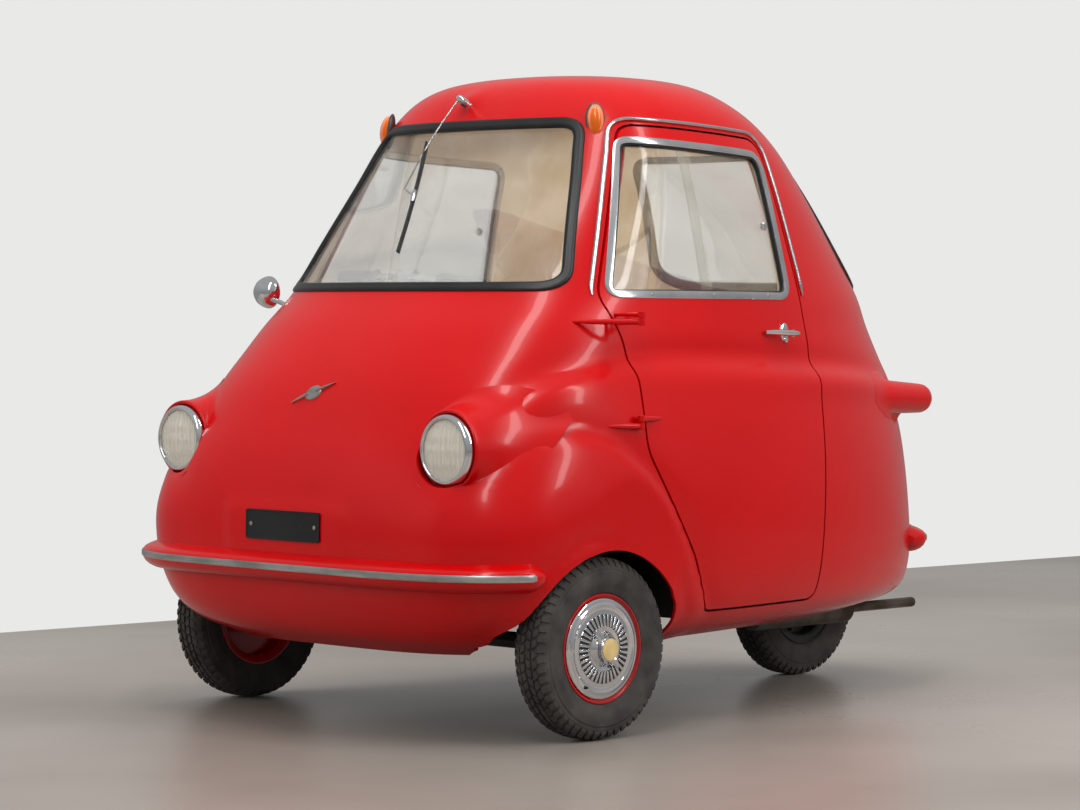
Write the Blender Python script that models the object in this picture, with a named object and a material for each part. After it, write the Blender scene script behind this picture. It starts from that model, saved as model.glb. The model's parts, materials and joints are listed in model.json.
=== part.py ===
"""Three-wheeled bubble microcar with a moulded body, one side door and a single rear wheel.

Metres, +Z up, standing on z = 0. The nose points to -Y and the door is on the car's left, at +X.
Shapes are laid out with y = 0 at the front axle; the car frame then carries them so that the
middle of the car's length is at y = 0.
"""

import math

import bmesh
import bpy
from mathutils import Matrix, Vector

# Clearances
HAIRLINE = 0.0003
BOND_GAP = 0.0007
PIN_CLEARANCE = 0.0004
# Past the whole car, for blocks that the body trims
FAR = 2.0

# Running gear
WHEELBASE = 1.370
TRACK = 1.180
TYRE_RADIUS = 0.205
TYRE_HALF_WIDTH = 0.048
TYRE_BEAD_RADIUS = 0.106
RIM_RING_RADIUS = 0.1235
RIM_HALF_WIDTH = 0.036
AXLE_RADIUS = 0.010
AXLE_Z = TYRE_RADIUS
HUB_INNER = 0.030
HUB_POCKET = 0.026
HUB_RADIUS = 0.030
HUB_BORE = AXLE_RADIUS + PIN_CLEARANCE
CAP_RADIUS = 0.1125
CAP_PROUD = 0.050
KINGPIN_OFFSET = 0.085
KINGPIN_X = TRACK / 2 - KINGPIN_OFFSET
KINGPIN_RADIUS = 0.0065
KNUCKLE_RADIUS = 0.014
KNUCKLE_HALF_HEIGHT = 0.038
YOKE_LUG = 0.012
YOKE_WIDTH = 0.030
BEAM_RADIUS = 0.019
STEERING_ARM_LENGTH = 0.100
STEERING_ARM_HALF_WIDTH = 0.010
STEERING_ARM_THICKNESS = 0.012
ARM_TUBE_RADIUS = 0.012
ARM_END = 0.025
TRACK_ROD_RADIUS = 0.007
TRACK_ROD_DROP = 0.021
TRACK_ROD_EYE_RADIUS = 0.011
BALL_PIN_RADIUS = 0.004
OPEN_PIVOT_CLEARANCE = 0.001
# Room round a front tyre while it steers, and the angles at which it is cut clear of the moulding
TYRE_ROOM = 0.0085
STEERED_ANGLES = (-24.0, -18.0, -12.0, -6.0)
TURN_SEGMENTS = 18
TYRE_SEGMENTS = 2 * TURN_SEGMENTS
SMALL_SEGMENTS = 8

# Body moulding
SHELL_THICKNESS = 0.010
BODY_HALF_WIDTH = 0.655
POINTS_ROUND = 36
ROOF_TOP_Z = 1.524
# How far the sill climbs per metre towards the tail, on the lowest rows of the table
SILL_RISE = (0.020, 0.010)
NOSE_SPLIT_Y = 0.300
TAIL_SPLIT_Y = WHEELBASE - 0.420
ROOF_SPLIT_Z = 1.350
ARCH_RADIUS = 0.235
ARCH_Y = 0.010
ARCH_Z = 0.190
ARCH_HEEL_RADIUS = 0.260
ARCH_HEEL_X = TRACK / 2 - 0.028
REAR_NOTCH_RADIUS = 0.224
REAR_NOTCH_HALF_WIDTH = 0.075

# Plan outlines of the body, from the sill up. Each is two half superellipses that meet at y_wide.
# Columns: z, y_front, reach past the rear axle, inset from the half width, y_wide, n_front, n_rear
SECTIONS = (
    (0.190, -0.250, 0.160, 0.155, 0.22, 3.60, 2.15),
    (0.225, -0.315, 0.212, 0.075, 0.21, 4.20, 2.15),
    (0.270, -0.352, 0.233, 0.030, 0.20, 4.50, 2.15),
    (0.330, -0.376, 0.242, 0.010, 0.20, 4.60, 2.15),
    (0.400, -0.388, 0.238, 0.002, 0.20, 4.60, 2.15),
    (0.480, -0.390, 0.228, 0.000, 0.20, 4.50, 2.15),
    (0.560, -0.381, 0.215, 0.003, 0.21, 4.00, 2.15),
    (0.640, -0.360, 0.198, 0.012, 0.23, 3.50, 2.15),
    (0.720, -0.325, 0.173, 0.025, 0.25, 3.20, 2.15),
    (0.780, -0.295, 0.153, 0.039, 0.27, 3.00, 2.15),
    (0.840, -0.255, 0.122, 0.067, 0.30, 2.90, 2.15),
    (0.920, -0.190, 0.072, 0.083, 0.32, 2.70, 2.15),
    (1.000, -0.115, 0.030, 0.099, 0.35, 2.50, 2.15),
    (1.120, -0.020, -0.070, 0.125, 0.38, 2.45, 2.15),
    (1.250, 0.080, -0.185, 0.157, 0.42, 2.50, 2.15),
    (1.350, 0.140, -0.290, 0.190, 0.45, 2.50, 2.20),
    (1.420, 0.185, -0.385, 0.227, 0.47, 2.50, 2.20),
    (1.470, 0.225, -0.480, 0.280, 0.48, 2.45, 2.20),
    (1.500, 0.270, -0.560, 0.345, 0.49, 2.40, 2.20),
    (1.516, 0.330, -0.650, 0.430, 0.50, 2.30, 2.20),
    (1.523, 0.410, -0.760, 0.545, 0.50, 2.20, 2.10),
)

# Bumper ridges. Columns: name, first angle, last angle round the plan outline in degrees
BUMPER_Z = 0.375
BUMPER_PROUD = 0.042
BUMPER_HALF_HEIGHT = 0.035
BUMPERS = (
    ("bumper_front", -158.0, -22.0),
    ("bumper_rear", 56.0, 124.0),
)

# Door. Columns: y, z, corner radius
DOOR_GAP = 0.008
DOOR_RIM = 0.022
DOOR_THICKNESS = 0.028
DOOR_SKIN_LAP = 0.006
DOOR_CORNERS = (
    (0.345, 0.270, 0.020),
    (0.290, 0.400, 0.300),
    (0.135, 0.650, 0.080),
    (0.138, 0.860, 0.080),
    (0.104, 0.990, 0.020),
    (0.285, 1.387, 0.050),
    (0.740, 1.366, 0.060),
    (0.790, 0.990, 0.400),
    (0.809, 0.790, 0.400),
    (0.768, 0.272, 0.030),
)
HINGE_X = 0.644
HINGE_Y = 0.107
HINGE_PIN_RADIUS = 0.0035
HINGE_BARREL_RADIUS = 0.0085
HINGE_HALF_HEIGHT = 0.016
# Columns: z, reach and root of the body half, reach and root of the door half, all from the pin
HINGES = (
    (0.940, 0.085, 0.012, 0.060, 0.020),
    (0.707, 0.085, 0.012, 0.085, 0.048),
)

# Windows. Columns: y or x, z, corner radius
WINDOW_CORNERS = (
    (0.113, 0.986, 0.030),
    (0.264, 1.362, 0.045),
    (0.735, 1.340, 0.060),
    (0.751, 0.984, 0.045),
)
WINDOW_FRAME_WIDTH = 0.018
WINDOW_FRAME_PROUD = 0.004
WINDOW_FRAME_DEPTH = 0.020
PANE_DEPTH = 0.004
PANE_THICKNESS = 0.004
WINDSCREEN_CORNERS = (
    (-0.476, 1.000, 0.040),
    (0.476, 1.000, 0.040),
    (0.336, 1.407, 0.080),
    (-0.336, 1.407, 0.080),
)
REAR_WINDOW_CORNERS = (
    (-0.350, 1.010, 0.070),
    (0.350, 1.010, 0.070),
    (0.250, 1.362, 0.080),
    (-0.250, 1.362, 0.080),
)
SEAL_WIDTH = 0.028
SEAL_PROUD = 0.006
SEAL_DEPTH = 0.014

# Lamps and small fittings
HEADLAMP_X = 0.461
HEADLAMP_Z = 0.650
HEADLAMP_RADIUS = 0.081
HEADLAMP_SEAT_Y = -0.300
HEADLAMP_DEPTH = 0.034
HEADLAMP_GAP = 0.001
NACELLE_RADIUS = 0.091
NACELLE_FLARE = 0.020
NACELLE_LENGTH = 0.100
NACELLE_LIP = 0.016
NACELLE_FLOOR = 0.012
CUP_STEP = 0.002
INDICATOR_X = 0.352
INDICATOR_Y = 0.255
INDICATOR_Z = 1.397
INDICATOR_HALF_HEIGHT = 0.046
INDICATOR_RADIUS = 0.024
POD_X = 0.395
POD_NOSE_X = 0.500
POD_Z = 0.735
POD_TIP_Y = WHEELBASE + 0.035
POD_RADIUS = 0.037
POD_NOSE_RADIUS = 0.055
POD_LENGTH = 0.505
LENS_LENGTH = 0.018
MIRROR_X = -0.580
MIRROR_Y = 0.040
MIRROR_Z = 1.000
MIRROR_RADIUS = 0.040
MIRROR_BACK_RADIUS = 0.026
MIRROR_STEPS = (-0.012, 0.010, 0.009, 0.016)
MIRROR_FOOT_Z = 0.960
HANDLE_Y = 0.700
HANDLE_Z = 0.905
HANDLE_LENGTH = 0.105
HANDLE_STAND_OFF = 0.030
WIPER_PIVOT = (-0.010, 0.205, 1.440)
WIPER_ELBOW = (-0.079, 0.073, 1.238)
WIPER_BLADE_TOP = (-0.063, 0.140, 1.346)
WIPER_BLADE_FOOT = (0.040, -0.048, 1.083)

# Frame and floor
RAIL_X = 0.200
RAIL_WIDTH = 0.030
RAIL_HEIGHT = 0.030
RAIL_FRONT_Y = -0.140
RAIL_REAR_Y = WHEELBASE + 0.005
CROSS_MEMBERS = (0.000, 0.560, WHEELBASE - 0.470)
CROSS_MEMBER_WIDTH = 0.040
FLOOR_THICKNESS = 0.010
WHEEL_BOX_X = TRACK / 2 - 0.165
WHEEL_BOX_FRONT_Y = -0.254
WHEEL_BOX_REAR_Y = 0.262
WHEEL_BOX_TOP_Z = 0.432
WHEEL_BOX_WALL = 0.004
PAD_ROWS = (0.300, 0.800)
PAD_HALF_WIDTH = 0.013
PAD_HALF_LENGTH = 0.030
PAD_HEIGHT = 0.008
REAR_SLOT_HALF_WIDTH = 0.160
REAR_SLOT_FRONT_Y = WHEELBASE - 0.450

# Cabin
SEAT_SIDE_ROOM = 0.155
SEAT_HALF_WIDTH = BODY_HALF_WIDTH - SEAT_SIDE_ROOM
SEAT_FRONT_Y = 0.520
SEAT_REAR_Y = 0.905
SEAT_BOX_TOP_Z = 0.440
SEAT_BOX_WALL = 0.012
CUSHION_THICKNESS = 0.115
CUSHION_NOSE = 0.010
CUSHION_ROUNDING = 0.028
BACK_HALF_WIDTH = 0.430
BACK_THICKNESS = 0.085
BACK_HEIGHT = 0.420
BACK_LEAN = 12.0
SHELF_Z = 0.700
COLUMN_X = -0.220
COLUMN_FOOT = (0.060, 0.300)
COLUMN_HEAD = (0.340, 0.830)
COLUMN_RADIUS = 0.016
SHAFT_RADIUS = 0.010
BAR_HALF_WIDTH = 0.190
BAR_RADIUS = 0.011

# Rear suspension, engine and exhaust
ARM_PIVOT_Y = WHEELBASE - 0.250
ARM_PIVOT_Z = 0.240
ARM_X = 0.085
ARM_THICKNESS = 0.012
ARM_HEIGHT = 0.030
DAMPER_RADIUS = 0.018
TOWER_Y = WHEELBASE - 0.080
DAMPER_TOP = (0.110, TOWER_Y, 0.470)
TOWER_WIDTH = 0.030
TOWER_BRIDGE_HALF_HEIGHT = 0.015
POST_HALF_WIDTH = 0.009
POST_SUNK = 0.005
TOWER_ROOM = 0.010
GUARD_RADIUS = 0.229
GUARD_THICKNESS = 0.004
GUARD_ANGLES = (35.0, 192.0)
ENGINE_SIZE = (0.280, 0.150, 0.300)
ENGINE_BOTTOM_Z = 0.190
SILENCER_X = 0.200
SILENCER_RADIUS = 0.036
SILENCER_FRONT_Y = WHEELBASE - 0.390
SILENCER_REAR_Y = WHEELBASE - 0.030
TAILPIPE_RADIUS = 0.013
TAILPIPE_END_Y = WHEELBASE + 0.250

# Heights that follow
RAIL_BOTTOM_Z = AXLE_Z + BEAM_RADIUS + HAIRLINE
RAIL_TOP_Z = RAIL_BOTTOM_Z + RAIL_HEIGHT
FLOOR_BOTTOM_Z = RAIL_TOP_Z + HAIRLINE
FLOOR_TOP_Z = FLOOR_BOTTOM_Z + FLOOR_THICKNESS
SEAT_BOX_BOTTOM_Z = FLOOR_TOP_Z + HAIRLINE

# Columns: finish, red, green, blue, alpha, roughness, metallic
FINISHES = {
    "body_red": (0.600, 0.005, 0.010, 1.0, 0.18, 0.0),
    "rubber": (0.015, 0.015, 0.016, 1.0, 0.60, 0.0),
    "tyre": (0.030, 0.030, 0.031, 1.0, 0.80, 0.0),
    "clear": (0.850, 0.900, 0.900, 0.25, 0.03, 0.0),
    "chrome": (0.800, 0.800, 0.810, 1.0, 0.08, 1.0),
    "aluminium": (0.720, 0.720, 0.730, 1.0, 0.32, 1.0),
    "black_paint": (0.012, 0.012, 0.012, 1.0, 0.45, 0.0),
    "rim_red": (0.480, 0.012, 0.014, 1.0, 0.30, 0.0),
    "amber": (0.900, 0.260, 0.010, 1.0, 0.12, 0.0),
    "trim": (0.480, 0.360, 0.220, 1.0, 0.75, 0.0),
    "vinyl": (0.420, 0.060, 0.050, 1.0, 0.55, 0.0),
    "steel": (0.350, 0.340, 0.330, 1.0, 0.50, 1.0),
}


def clear_scene():
    for item in list(bpy.data.objects):
        bpy.data.objects.remove(item, do_unlink=True)


def make_finishes():
    finishes = {}
    for name, (red, green, blue, alpha, roughness, metallic) in FINISHES.items():
        finish = bpy.data.materials.new(name)
        finish.use_nodes = True
        shader = finish.node_tree.nodes["Principled BSDF"]
        shader.inputs["Base Color"].default_value = (red, green, blue, 1.0)
        shader.inputs["Alpha"].default_value = alpha
        shader.inputs["Roughness"].default_value = roughness
        shader.inputs["Metallic"].default_value = metallic
        finish.diffuse_color = (red, green, blue, alpha)
        finishes[name] = finish
    return finishes


# Working solids: plain objects at the origin, joined and cut by Boolean modifiers


def solid(bm):
    """Turn a closed bmesh into a working object with its faces pointing out."""
    bmesh.ops.recalc_face_normals(bm, faces=bm.faces)
    mesh = bpy.data.meshes.new("blank")
    bm.to_mesh(mesh)
    bm.free()
    item = bpy.data.objects.new("blank", mesh)
    bpy.context.scene.collection.objects.link(item)
    return item


def copy_of(item):
    twin = bpy.data.objects.new("blank", item.data.copy())
    bpy.context.scene.collection.objects.link(twin)
    return twin


def combine(base, tool, operation, keep_tool=False):
    """Join, cut or intersect the base with a tool, and bake the result into the base."""
    modifier = base.modifiers.new("combine", "BOOLEAN")
    modifier.operation = operation
    modifier.solver = "EXACT"
    modifier.object = tool
    graph = bpy.context.evaluated_depsgraph_get()
    mesh = bpy.data.meshes.new_from_object(base.evaluated_get(graph))
    base.modifiers.clear()
    base.data = mesh
    if not keep_tool:
        bpy.data.objects.remove(tool, do_unlink=True)
    return base


def fuse(base, *tools):
    for tool in tools:
        combine(base, tool, "UNION")
    return base


def cut(base, *tools):
    for tool in tools:
        combine(base, tool, "DIFFERENCE")
    return base


def clip(base, tool):
    return combine(base, tool, "INTERSECT")


def block(low, high):
    """A box between two corners."""
    bm = bmesh.new()
    bmesh.ops.create_cube(bm, size=1.0)
    size = Vector(high) - Vector(low)
    middle = (Vector(high) + Vector(low)) / 2
    bmesh.ops.scale(bm, vec=size, verts=bm.verts)
    bmesh.ops.translate(bm, vec=middle, verts=bm.verts)
    return solid(bm)


def rod(start, end, radius, end_radius=None, segments=SMALL_SEGMENTS):
    """A round bar, or a cone where the end radius differs."""
    start = Vector(start)
    end = Vector(end)
    along = end - start
    bm = bmesh.new()
    top = radius if end_radius is None else end_radius
    bmesh.ops.create_cone(
        bm, cap_ends=True, segments=segments, radius1=radius, radius2=top, depth=along.length
    )
    turn = along.to_track_quat("Z", "Y").to_matrix().to_4x4()
    place = Matrix.Translation((start + end) / 2) @ turn
    bmesh.ops.transform(bm, matrix=place, verts=bm.verts)
    return solid(bm)


def bore(start, end, radius, segments=SMALL_SEGMENTS):
    """A round cutter whose flats, not its corners, stand at the radius."""
    return rod(start, end, radius / math.cos(math.pi / segments), segments=segments)


def ball(centre, radius, squash=(1.0, 1.0, 1.0)):
    bm = bmesh.new()
    bmesh.ops.create_uvsphere(bm, u_segments=12, v_segments=8, radius=radius)
    bmesh.ops.scale(bm, vec=squash, verts=bm.verts)
    bmesh.ops.translate(bm, vec=centre, verts=bm.verts)
    return solid(bm)


def turned(profile, segments=TURN_SEGMENTS):
    """Spin a profile of (radius, along) points about the X axis into a closed solid."""
    bm = bmesh.new()
    points = [bm.verts.new((along, 0.0, radius)) for radius, along in profile]
    edges = [bm.edges.new(pair) for pair in zip(points, points[1:])]
    if profile[0][0] > 0:
        edges.append(bm.edges.new((points[-1], points[0])))
    bmesh.ops.spin(
        bm,
        geom=points + edges,
        cent=(0, 0, 0),
        axis=(1, 0, 0),
        angle=math.tau,
        steps=segments,
        use_merge=True,
    )
    bmesh.ops.remove_doubles(bm, verts=bm.verts, dist=0.00001)
    return solid(bm)


def prism(outline, axis, low, high):
    """Extrude a flat outline along the named axis between two levels."""
    order = {
        "X": lambda a, b, c: (c, a, b),
        "Y": lambda a, b, c: (a, c, b),
        "Z": lambda a, b, c: (a, b, c),
    }
    place = order[axis]
    bm = bmesh.new()
    face = bm.faces.new([bm.verts.new(place(a, b, low)) for a, b in outline])
    grown = bmesh.ops.extrude_face_region(bm, geom=[face])
    tips = [item for item in grown["geom"] if isinstance(item, bmesh.types.BMVert)]
    bmesh.ops.translate(bm, vec=Vector(place(0.0, 0.0, high - low)), verts=tips)
    return solid(bm)


def moved(item, matrix):
    item.data.transform(matrix)
    if matrix.determinant() < 0:
        item.data.flip_normals()
    return item


# Outlines with rounded corners


def grown_corners(corners, distance):
    """Move every side of a cornered outline outwards by a distance, or inwards if negative."""
    points = [Vector((a, b)) for a, b, _ in corners]
    count = len(points)
    area = sum(points[i - 1].cross(points[i]) for i in range(count))
    side = 1.0 if area > 0 else -1.0
    result = []
    for i in range(count):
        before = (points[i] - points[i - 1]).normalized()
        after = (points[(i + 1) % count] - points[i]).normalized()
        out_before = Vector((before.y, -before.x)) * side
        out_after = Vector((after.y, -after.x)) * side
        middle = out_before + out_after
        reach = 2.0 * distance / middle.length_squared
        spot = points[i] + middle * reach
        result.append((spot.x, spot.y, max(corners[i][2] + distance, 0.004)))
    return result


def rounded(corners, steps=5):
    """Points of a cornered outline, with each corner replaced by an arc."""
    points = [Vector((a, b)) for a, b, _ in corners]
    count = len(points)
    outline = []
    for i in range(count):
        before = points[i - 1] - points[i]
        after = points[(i + 1) % count] - points[i]
        angle = before.angle(after)
        reach = corners[i][2] / math.tan(angle / 2)
        reach = min(reach, 0.48 * before.length, 0.48 * after.length)
        start = points[i] + before.normalized() * reach
        end = points[i] + after.normalized() * reach
        for step in range(steps + 1):
            t = step / steps
            curve = start * (1 - t) ** 2 + points[i] * 2 * t * (1 - t) + end * t**2
            outline.append((curve.x, curve.y))
    return outline


# The body's outer surface


def plan_point(section, angle):
    """A point of one plan outline; 0 is the left side, -90 the nose and 90 the tail."""
    z, y_front, tail, inset, y_wide, n_front, n_rear = section
    y_rear = WHEELBASE + tail
    half_width = BODY_HALF_WIDTH - inset
    c = math.cos(angle)
    s = math.sin(angle)
    power = 2.0 / (n_front if s < 0 else n_rear)
    reach = y_wide - y_front if s < 0 else y_rear - y_wide
    x = half_width * math.copysign(abs(c) ** power, c)
    y = y_wide + reach * math.copysign(abs(s) ** power, s)
    return Vector((x, y, z))


def section_at(z):
    """The plan outline at any height, between the rows of the table."""
    for low, high in zip(SECTIONS, SECTIONS[1:]):
        if z <= high[0]:
            break
    share = (z - low[0]) / (high[0] - low[0])
    return tuple(a + (b - a) * share for a, b in zip(low, high))


def surface_point(angle, z):
    return plan_point(section_at(z), angle)


def side_x(y, z):
    """Half width of the body at a given y and height."""
    _, y_front, tail, inset, y_wide, n_front, n_rear = section_at(z)
    reach = y_wide - y_front if y < y_wide else WHEELBASE + tail - y_wide
    power = n_front if y < y_wide else n_rear
    return (BODY_HALF_WIDTH - inset) * (1.0 - abs((y - y_wide) / reach) ** power) ** (1.0 / power)


def body_rings(offset):
    """Rings of points on the body's surface, moved out by an offset along the surface normal."""
    rings = []
    for row, section in enumerate(SECTIONS):
        ring = []
        for step in range(POINTS_ROUND):
            point = plan_point(section, math.tau * step / POINTS_ROUND)
            if row < len(SILL_RISE):
                point.z += SILL_RISE[row] * point.y
            ring.append(point)
        rings.append(ring)
    moved_rings = []
    last = len(rings) - 1
    for row, ring in enumerate(rings):
        above = rings[min(row + 1, last)]
        below = rings[max(row - 1, 0)]
        new_ring = []
        for step, point in enumerate(ring):
            around = ring[(step + 1) % POINTS_ROUND] - ring[step - 1]
            normal = around.cross(above[step] - below[step]).normalized()
            new_ring.append(point + normal * offset)
        moved_rings.append(new_ring)
    return moved_rings


def add_skin(bm, offset):
    """Add one skin of the body, closed at the roof, and return its lowest ring."""
    rings = [[bm.verts.new(point) for point in ring] for ring in body_rings(offset)]
    for low, high in zip(rings, rings[1:]):
        for step in range(POINTS_ROUND):
            bm.faces.new((low[step - 1], low[step], high[step], high[step - 1]))
    crown = bm.verts.new((0.0, SECTIONS[-1][4], ROOF_TOP_Z + offset))
    for step in range(POINTS_ROUND):
        bm.faces.new((rings[-1][step - 1], rings[-1][step], crown))
    return rings[0]


def skin_shell(proud, depth):
    """The body as a shell that is open below, between two offsets from its surface."""
    bm = bmesh.new()
    outer = add_skin(bm, proud)
    inner = add_skin(bm, -depth)
    for step in range(POINTS_ROUND):
        bm.faces.new((outer[step], outer[step - 1], inner[step - 1], inner[step]))
    return solid(bm)


def body_lump(offset):
    """The body as one full solid, for clipping what is inside and trimming what is outside."""
    bm = bmesh.new()
    bm.faces.new(reversed(add_skin(bm, offset)))
    return solid(bm)


def skin_piece(proud, depth, outline, hole=None):
    """A piece of the body's skin inside a prism, with an optional hole."""
    piece = clip(skin_shell(proud, depth), outline)
    if hole is not None:
        cut(piece, hole)
    return piece


def side_prism(corners, distance, side=1):
    """A prism through one side of the body; side is 1 on the left and -1 on the right."""
    low, high = sorted((0.15 * side, 0.80 * side))
    return prism(rounded(grown_corners(corners, distance)), "X", low, high)


def front_prism(corners, distance):
    return prism(rounded(grown_corners(corners, distance)), "Y", -0.60, 0.40)


def back_prism(corners, distance):
    return prism(rounded(grown_corners(corners, distance)), "Y", 0.60, 1.80)


# Body panels


def nacelle(side):
    """The raised bowl of a headlamp: a flare outside the skin and a cup that holds the lamp."""
    back = (side * HEADLAMP_X, HEADLAMP_SEAT_Y + NACELLE_LENGTH, HEADLAMP_Z)
    floor = (side * HEADLAMP_X, HEADLAMP_SEAT_Y + NACELLE_FLOOR, HEADLAMP_Z)
    lip = (side * HEADLAMP_X, HEADLAMP_SEAT_Y - NACELLE_LIP, HEADLAMP_Z)
    flare = rod(back, lip, NACELLE_RADIUS + NACELLE_FLARE, NACELLE_RADIUS, segments=24)
    cut(flare, body_lump(-SHELL_THICKNESS / 2))
    cup_lip = (lip[0], lip[1] + CUP_STEP, lip[2])
    return fuse(flare, rod(floor, cup_lip, NACELLE_RADIUS - CUP_STEP, segments=24))


def lamp_pocket(side):
    seat = Vector((side * HEADLAMP_X, HEADLAMP_SEAT_Y, HEADLAMP_Z))
    return rod(seat, seat + Vector((0.0, -0.20, 0.0)), HEADLAMP_RADIUS + HEADLAMP_GAP, segments=24)


def pod_axis(side):
    """The tip of a tail pod and the direction that it points in."""
    nose = Vector((side * POD_NOSE_X, POD_TIP_Y - POD_LENGTH, POD_Z))
    tip = Vector((side * POD_X, POD_TIP_Y, POD_Z))
    return nose, tip, (tip - nose).normalized()


def pod(side):
    """The moulded pod that carries a tail lamp."""
    nose, tip, _ = pod_axis(side)
    body = rod(nose, tip, POD_NOSE_RADIUS, POD_RADIUS, segments=20)
    return cut(body, body_lump(-SHELL_THICKNESS / 2))


def hinge_half(z, forward, reach, root):
    """One painted hinge leaf, with a barrel at the pin; forward is the half on the body."""
    way = -1.0 if forward else 1.0
    low = z - HINGE_HALF_HEIGHT if forward else z + HAIRLINE
    high = z - HAIRLINE if forward else z + HINGE_HALF_HEIGHT
    pin_spot = (HINGE_X, HINGE_Y)
    barrel = rod((*pin_spot, low), (*pin_spot, high), HINGE_BARREL_RADIUS)
    far_y = HINGE_Y + way * reach
    root_y = HINGE_Y + way * root
    foot_x = side_x(far_y, z)
    half = HINGE_BARREL_RADIUS * 0.8
    leaf = [
        (HINGE_X + half, HINGE_Y),
        (foot_x, far_y),
        (foot_x - 0.012, far_y),
        (side_x(root_y, z) - 0.008, root_y),
        (HINGE_X - half, HINGE_Y),
    ]
    arm = cut(prism(leaf, "Z", low, high), body_lump(-SHELL_THICKNESS / 2))
    fuse(barrel, arm)
    if forward:
        fuse(barrel, rod((*pin_spot, low), (*pin_spot, z + HINGE_HALF_HEIGHT), HINGE_PIN_RADIUS))
    else:
        hole_low = (*pin_spot, low - HINGE_HALF_HEIGHT)
        hole_high = (*pin_spot, high + HINGE_HALF_HEIGHT)
        cut(barrel, bore(hole_low, hole_high, HINGE_PIN_RADIUS + PIN_CLEARANCE))
    return barrel


def steered_room(side, angle):
    """The space that a front tyre needs at one steering angle. Columns: radius, half width."""
    wide = TYRE_HALF_WIDTH
    edge = (
        (0.0, wide + TYRE_ROOM),
        (0.160, wide + TYRE_ROOM),
        (0.188 + TYRE_ROOM, wide * 0.90 + TYRE_ROOM),
        (TYRE_RADIUS + TYRE_ROOM, wide * 0.32 + TYRE_ROOM),
    )
    far_edge = tuple((radius, -along) for radius, along in reversed(edge))
    room = turned(edge + far_edge, segments=TYRE_SEGMENTS)
    to_kingpin = Matrix.Translation((side * KINGPIN_X, 0.0, AXLE_Z))
    turn = Matrix.Rotation(math.radians(side * angle), 4, "Z")
    return moved(room, to_kingpin @ turn @ Matrix.Translation((side * KINGPIN_OFFSET, 0.0, 0.0)))


def body_moulding():
    """The whole moulded body with its openings, nacelles and pods."""
    moulding = skin_shell(0.0, SHELL_THICKNESS)
    for side in (1, -1):
        fuse(moulding, nacelle(side), pod(side))
        cut(moulding, lamp_pocket(side))
    cut(moulding, side_prism(DOOR_CORNERS, DOOR_GAP))
    cut(moulding, side_prism(WINDOW_CORNERS, HAIRLINE, side=-1))
    cut(moulding, front_prism(WINDSCREEN_CORNERS, HAIRLINE))
    cut(moulding, back_prism(REAR_WINDOW_CORNERS, HAIRLINE))
    for side in (1, -1):
        inside = (side * (WHEEL_BOX_X - 0.02), ARCH_Y, ARCH_Z)
        outside = (side * 0.80, ARCH_Y, ARCH_Z)
        cut(moulding, rod(inside, outside, ARCH_RADIUS, segments=TYRE_SEGMENTS))
        heel_in = (inside[0], ARCH_Y, AXLE_Z)
        heel_out = (side * ARCH_HEEL_X, ARCH_Y, AXLE_Z)
        cut(moulding, rod(heel_in, heel_out, ARCH_HEEL_RADIUS, segments=TYRE_SEGMENTS))
        for angle in STEERED_ANGLES:
            cut(moulding, steered_room(side, angle))
    left = (REAR_NOTCH_HALF_WIDTH, WHEELBASE, AXLE_Z)
    right = (-REAR_NOTCH_HALF_WIDTH, WHEELBASE, AXLE_Z)
    cut(moulding, rod(right, left, REAR_NOTCH_RADIUS, segments=TYRE_SEGMENTS))
    for z, reach, root, _, _ in HINGES:
        fuse(moulding, hinge_half(z, True, reach, root))
    return moulding


def body_panels():
    """The moulding, split where its panels are bonded. Columns: name, low corner, high corner."""
    seam = HAIRLINE / 2
    top = ROOF_SPLIT_Z - seam
    side_front = NOSE_SPLIT_Y + seam
    side_rear = TAIL_SPLIT_Y - seam
    splits = (
        ("shell_nose", (-FAR, -FAR, 0.0), (FAR, NOSE_SPLIT_Y - seam, top)),
        ("shell_side_left", (0.0, side_front, 0.0), (FAR, side_rear, top)),
        ("shell_side_right", (-FAR, side_front, 0.0), (0.0, side_rear, top)),
        ("shell_tail", (-FAR, TAIL_SPLIT_Y + seam, 0.0), (FAR, FAR, top)),
        ("shell_roof", (-FAR, -FAR, ROOF_SPLIT_Z + seam), (FAR, FAR, FAR)),
    )
    moulding = body_moulding()
    panels = {}
    for name, low, high in splits:
        panels[name] = clip(copy_of(moulding), block(low, high))
    bpy.data.objects.remove(moulding, do_unlink=True)
    return panels


def bumper(first, last):
    """A moulded ridge that follows the plan outline and tapers at both ends."""
    profile = (
        (-0.020, -1.0),
        (0.35, -0.95),
        (0.80, -0.60),
        (1.00, -0.20),
        (1.00, 0.20),
        (0.80, 0.60),
        (0.35, 0.95),
        (-0.020, 1.0),
    )
    steps = 16
    bm = bmesh.new()
    rings = []
    for step in range(steps + 1):
        angle = math.radians(first + (last - first) * step / steps)
        spot = surface_point(angle, BUMPER_Z)
        nearby = surface_point(angle + 0.002, BUMPER_Z) - surface_point(angle - 0.002, BUMPER_Z)
        out = Vector((nearby.y, -nearby.x, 0.0)).normalized()
        end_share = min(step, steps - step) / 3.0
        taper = min(1.0, 0.25 + 0.75 * end_share)
        ring = []
        for reach, lift in profile:
            rise = Vector((0.0, 0.0, lift * BUMPER_HALF_HEIGHT * taper))
            ring.append(bm.verts.new(spot + out * (reach * BUMPER_PROUD * taper) + rise))
        rings.append(ring)
    for near, far in zip(rings, rings[1:]):
        for i in range(len(profile)):
            bm.faces.new((near[i - 1], near[i], far[i], far[i - 1]))
    bm.faces.new(rings[0])
    bm.faces.new(reversed(rings[-1]))
    return cut(solid(bm), body_lump(HAIRLINE))


# Door


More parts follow.
